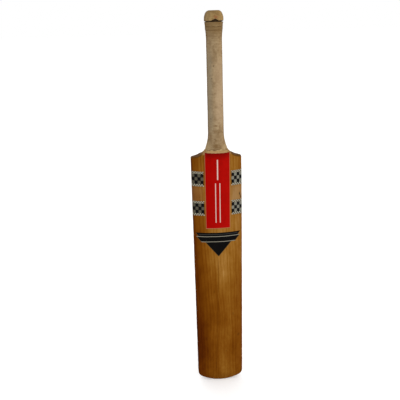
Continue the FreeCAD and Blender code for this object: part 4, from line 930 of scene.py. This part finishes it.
def red_material():
    g = Nodes("red_label_film")
    g.x = g.m("SUBTRACT", g.x, g.m("ADD", 0.3, g.m("MULTIPLY", g.m("ADD", g.z, 315.6), 0.0035)))
    soft = g.noise(g.stretch(0.06, 0.06, 0.045, (1, 1, 1)), 1.0, 3.0, 0.55)
    fine = g.noise(g.stretch(0.8, 0.8, 0.8), 1.0, 3.0, 0.6)
    scuff = g.noise(g.stretch(0.9, 0.9, 0.10, (6, 6, 6)), 1.0, 3.0, 0.6)
    # painted light: the red lighter towards the right, where more light falls
    side = g.m("ADD", g.m("DIVIDE", g.x, 53.0), 0.5, clamp=True)
    col = g.mix(side, lit(168, 5, 1), lit(180, 14, 8))
    col = g.mix(g.m("MULTIPLY", soft, 0.5), col, lit(156, 5, 2))
    # darker towards the top of the label below the throat, deepest in the middle
    rise = g.m("ADD", g.z, g.m("MULTIPLY", g.m("SUBTRACT", fine, 0.5), 7.0))
    rise = g.m("ADD", rise, g.m("MULTIPLY", g.m("SUBTRACT", soft, 0.5), 16.0))
    rise = g.m("SUBTRACT", rise, g.m("MULTIPLY", g.m("ABSOLUTE", g.x), 0.10))
    top_darkening = g.above(rise, -160.5, 15.0)
    smear = g.grey(g.noise(g.stretch(0.22, 0.22, 0.30, (2, 9, 4)), 1.0, 4.0, 0.7, 0.8), [(0.50, 0.0), (0.62, 1.0)])
    top_darkening = g.m("MAXIMUM", top_darkening, g.m("MULTIPLY", g.m("MULTIPLY", smear, g.above(g.z, -176.0, 26.0)), 0.6))
    col = g.mix(g.m("MULTIPLY", top_darkening, 0.72), col, lit(84, 8, 4))
    streak = g.grey(scuff, [(0.60, 0.0), (0.70, 1.0)])
    col = g.mix(g.m("MULTIPLY", streak, 0.3), col, lit(104, 8, 4))
    hazy = g.grey(g.noise(g.stretch(0.11, 0.11, 0.07, (4, 4, 4)), 1.0, 4.0, 0.65), [(0.46, 0.0), (0.66, 1.0)])
    col = g.mix(g.m("MULTIPLY", hazy, 0.22), col, lit(128, 8, 4))
    # plain white bar and rules printed on the film, worn
    ax = g.m("ABSOLUTE", g.x)
    bar = g.m("MULTIPLY", g.m("SUBTRACT", 1.0, g.above(ax, 1.15, 0.3)), g.between(g.z, -204.0, -159.0, 0.5))
    rule = g.m("MULTIPLY", g.m("SUBTRACT", 1.0, g.above(g.m("ABSOLUTE", g.m("SUBTRACT", ax, 4.6)), 0.75, 0.3)), g.between(g.z, -302.0, -211.0, 0.5))
    print_wear = g.grey(g.noise(g.stretch(0.7, 0.7, 0.5, (1, 2, 3)), 1.0, 4.0, 0.7), [(0.56, 0.92), (0.66, 0.35)])
    col = g.mix(g.m("MULTIPLY", g.m("MAXIMUM", bar, rule), print_wear), col, lit(222, 198, 186))
    # pale uncoated margin of the film at its sides and foot
    margin = g.m("MAXIMUM", g.above(g.m("ABSOLUTE", g.x), 25.55, 0.25), g.m("SUBTRACT", 1.0, g.above(g.z, -314.7, 0.3)))
    col = g.mix(g.m("MULTIPLY", margin, 0.85), col, g.mix(fine, lit(190, 138, 104), lit(150, 96, 66)))
    chips = g.grey(g.noise(g.stretch(0.45, 0.45, 0.45, (2, 7, 7)), 1.0, 4.0, 0.7), [(0.70, 0.0), (0.73, 1.0)])
    col = g.mix(g.m("MULTIPLY", chips, 0.5), col, lit(120, 44, 26))
    rough = g.m("ADD", g.m("MULTIPLY", fine, 0.15), g.m("ADD", g.m("MULTIPLY", top_darkening, 0.3), 0.34))
    return g.done(col, rough, g.bump(g.m("ADD", fine, g.m("MULTIPLY", scuff, 0.8)), 0.2, 0.00015), Specular_IOR_Level=0.01)


def check_material():
    g = Nodes("checked_film")
    right = g.m("GREATER_THAN", g.x, 0.0)
    ax = g.m("ADD", g.m("ABSOLUTE", g.x), g.m("MULTIPLY", right, g.m("SUBTRACT", g.m("MULTIPLY", g.x, 0.069), 3.7)))
    fine = g.noise(g.stretch(0.9, 0.9, 0.9), 1.0, 3.0, 0.6)
    upper = g.m("GREATER_THAN", g.z, -235.0)
    foot = g.m("ADD", -285.2, g.m("MULTIPLY", upper, 66.7))
    tall = g.m("SUBTRACT", 33.2, g.m("MULTIPLY", upper, 0.4))
    h = g.m("SUBTRACT", g.z, foot)

    def squares(u, v, spread):
        both = g.m("MULTIPLY", g.m("SINE", g.m("MULTIPLY", u, math.pi)), g.m("SINE", g.m("MULTIPLY", v, math.pi)))
        return g.m("GREATER_THAN", both, -spread)

    big_dark = squares(g.m("DIVIDE", g.m("SUBTRACT", ax, 28.8), 6.3), g.m("DIVIDE", g.m("SUBTRACT", h, 5.2), 7.6), 0.04)
    small_dark = squares(g.m("DIVIDE", ax, 2.6), g.m("DIVIDE", h, 2.6), 0.03)
    in_big = g.m("MULTIPLY", g.m("GREATER_THAN", h, 5.2), g.m("LESS_THAN", h, g.m("SUBTRACT", tall, 5.2)))
    silver = g.mix(fine, lit(104, 103, 90), lit(146, 144, 130))
    # painted shade: the silver squares darker on the left bands
    left_band_shade = g.above(g.m("MULTIPLY", g.x, -1.0), 0.0, 1.0)
    silver = g.mix(g.m("MULTIPLY", left_band_shade, 0.7), silver, lit(58, 50, 32))
    black = g.mix(fine, lit(6, 6, 8), lit(20, 18, 18))
    big = g.mix(big_dark, silver, black)
    gold = g.mix(fine, lit(222, 216, 196), lit(140, 128, 98))
    small = g.mix(small_dark, gold, g.mix(fine, lit(4, 4, 4), lit(16, 10, 8)))
    col = g.mix(in_big, small, big)
    worn = g.grey(g.noise(g.stretch(0.25, 0.25, 0.25, (4, 4, 9)), 1.0, 4.0, 0.7), [(0.60, 0.0), (0.68, 1.0)])
    col = g.mix(g.m("MULTIPLY", worn, 0.35), col, lit(104, 72, 34))
    return g.done(col, 0.42, g.bump(fine, 0.15, 0.0001), Specular_IOR_Level=0.02)


def black_material():
    g = Nodes("black_pennant_film")
    fine = g.noise(g.stretch(0.9, 0.9, 0.9), 1.0, 3.0, 0.6)
    soft = g.noise(g.stretch(0.07, 0.07, 0.07, (8, 1, 1)), 1.0, 3.0, 0.6)
    col = g.mix(soft, lit(8, 8, 8), lit(20, 18, 18))
    ax = g.m("ABSOLUTE", g.x)
    wave = g.m("MULTIPLY", g.m("SUBTRACT", g.noise(g.stretch(0.05, 0.0, 0.0, (3, 0, 0)), 1.0, 1.0), 0.5), 1.2)
    zz = g.m("ADD", g.z, wave)
    for zc, half, limit, strength, tint in ((-329.4, 0.45, 42.5, 0.42, (120, 120, 118)), (-334.6, 0.75, 48.0, 0.85, (170, 164, 146)), (-346.9, 0.75, 37.8, 0.85, (170, 164, 146))):
        line = g.m("MULTIPLY", g.between(zz, zc - half, zc + half, 0.35), g.m("SUBTRACT", 1.0, g.above(ax, limit, 0.6)))
        col = g.mix(g.m("MULTIPLY", line, strength), col, lit(*tint))
    # pale cut edge of the film along its slanting sides
    edge1 = g.m("SUBTRACT", ax, g.m("ADD", 49.6, g.m("MULTIPLY", g.m("ADD", g.z, 325.6), 0.7407)))
    edge2 = g.m("SUBTRACT", ax, g.m("ADD", 48.6, g.m("MULTIPLY", g.m("ADD", g.z, 333.7), 0.7943)))
    edge3 = g.m("SUBTRACT", ax, g.m("ADD", 28.9, g.m("MULTIPLY", g.m("ADD", g.z, 347.8), 0.8328)))
    in1, in3 = g.m("GREATER_THAN", g.z, -333.7), g.m("LESS_THAN", g.z, -347.8)
    in2 = g.m("SUBTRACT", 1.0, g.m("MAXIMUM", in1, in3))
    for inside, edge in ((in1, edge1), (in2, edge2), (in3, edge3)):
        rim = g.m("MULTIPLY", inside, g.above(edge, -0.95, 0.3))
        col = g.mix(g.m("MULTIPLY", rim, 0.5), col, lit(130, 104, 64))
    worn = g.grey(g.noise(g.stretch(0.4, 0.4, 0.4, (4, 4, 9)), 1.0, 4.0, 0.7), [(0.66, 0.0), (0.74, 1.0)])
    col = g.mix(g.m("MULTIPLY", worn, 0.22), col, lit(64, 50, 34))
    return g.done(col, g.m("ADD", g.m("MULTIPLY", fine, 0.12), 0.5), g.bump(fine, 0.08, 0.0001), Specular_IOR_Level=0.01)


# ---------------------------------------------------------------- camera, light, floor
AZ, EL, DIST, ROLL, AIM_X, AIM_Z, FOCAL = -2.52, 19.13, 1156.09, -1.8, -36.43, -258.26, 524.78


def place_camera():
    a, e, r = math.radians(AZ), math.radians(EL), math.radians(ROLL)
    back = Vector((math.sin(a) * math.cos(e), -math.cos(a) * math.cos(e), math.sin(e)))
    place = Vector((AIM_X, FACE, AIM_Z)) + back * DIST
    right = (-back).cross(Vector((0, 0, 1))).normalized()
    up = right.cross(-back)
    R = math.cos(r) * right + math.sin(r) * up
    U = -math.sin(r) * right + math.cos(r) * up
    cam = bpy.data.cameras.new("camera")
    cam.sensor_width = 36
    cam.lens = 36 * FOCAL / 400
    cam.clip_start, cam.clip_end = 0.01, 100
    ob = bpy.data.objects.new("camera", cam)
    m = Matrix((R, U, back)).transposed().to_4x4()
    m.translation = place * MM
    ob.matrix_world = m
    scene.collection.objects.link(ob)
    scene.camera = ob


def area(name, place, target, size, power, color=(1, 1, 1)):
    light = bpy.data.lights.new(name, "AREA")
    light.shape, light.size, light.energy, light.color = "DISK", size, power, color
    ob = bpy.data.objects.new(name, light)
    ob.location = place
    ob.rotation_mode = "QUATERNION"
    ob.rotation_quaternion = (Vector(target) - Vector(place)).to_track_quat("-Z", "Y")
    scene.collection.objects.link(ob)
    return ob


def build_stage():
    scene.view_settings.view_transform = "Standard"
    world = bpy.data.worlds.new("studio")
    scene.world = world
    world.use_nodes = True
    nt = world.node_tree
    bg = nt.nodes["Background"]
    bg.inputs["Color"].default_value = (1, 1, 1, 1)
    bg.inputs["Strength"].default_value = 1.0
    g = Nodes("pale_floor")
    n = g.noise(g.stretch(0.004, 0.004, 0.004), 1.0, 2.0, 0.5)
    floor_mat = g.done(g.mix(n, (0.84, 0.84, 0.84), (0.86, 0.86, 0.86)), 0.9, Specular_IOR_Level=0.0, Emission_Color=(1, 1, 1, 1), Emission_Strength=0.24)
    me = bpy.data.meshes.new("floor")
    s, z = 30.0, -0.7203
    me.from_pydata([(-s, -s, z), (s, -s, z), (s, s, z), (-s, s, z)], [], [(0, 1, 2, 3)])
    floor = bpy.data.objects.new("floor", me)
    floor.data.materials.append(floor_mat)
    scene.collection.objects.link(floor)
    area("key", (1.3, -1.9, 0.5), (0, 0, -0.3), 1.2, 16, (1, 0.985, 0.96))
    area("far_side", (-0.9, 2.2, 0.9), (0, 0, -0.3), 1.6, 8)


# ---------------------------------------------------------------- put together
def dress(ob, mat, slot, *replaced):
    ob.data.materials.clear()
    ob.data.materials.append(mat)
    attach(ob, "root")
    if replaced:
        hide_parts(*replaced)
    return ob


place_camera()
build_stage()
willow = willow_material()
dress(build_blade(), willow, "willow", "blade")
dress(build_red_label(), red_material(), "red_label", "back_label")
checks = check_material()
for level in ("upper", "lower"):
    for side in ("left", "right"):
        band = build_band(side, level)
        band.name = "checked_film_%s_%s" % (level, side)
        dress(band, checks, "checked_label", "checked_band_%s_%s" % (level, side))
dress(build_pennant(), black_material(), "black_label", "pennant_label")
dress(build_twine(), twine_material(), "twine", "twine_binding")
dress(build_sleeve(), rubber_material("sleeve"), "grip_rubber", "grip_sleeve")
dress(build_cuff(), rubber_material("cuff"), "grip_rubber", "grip_head_cuff")
canes = [n for n in sorted(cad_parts) if n.startswith("cane_")]
for k, name in enumerate(canes):
    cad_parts[name].data.materials[0] = cane_material(k)
rubber = spring_material()
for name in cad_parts:
    if name.startswith("rubber_spring_"):
        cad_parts[name].data.materials[0] = rubber
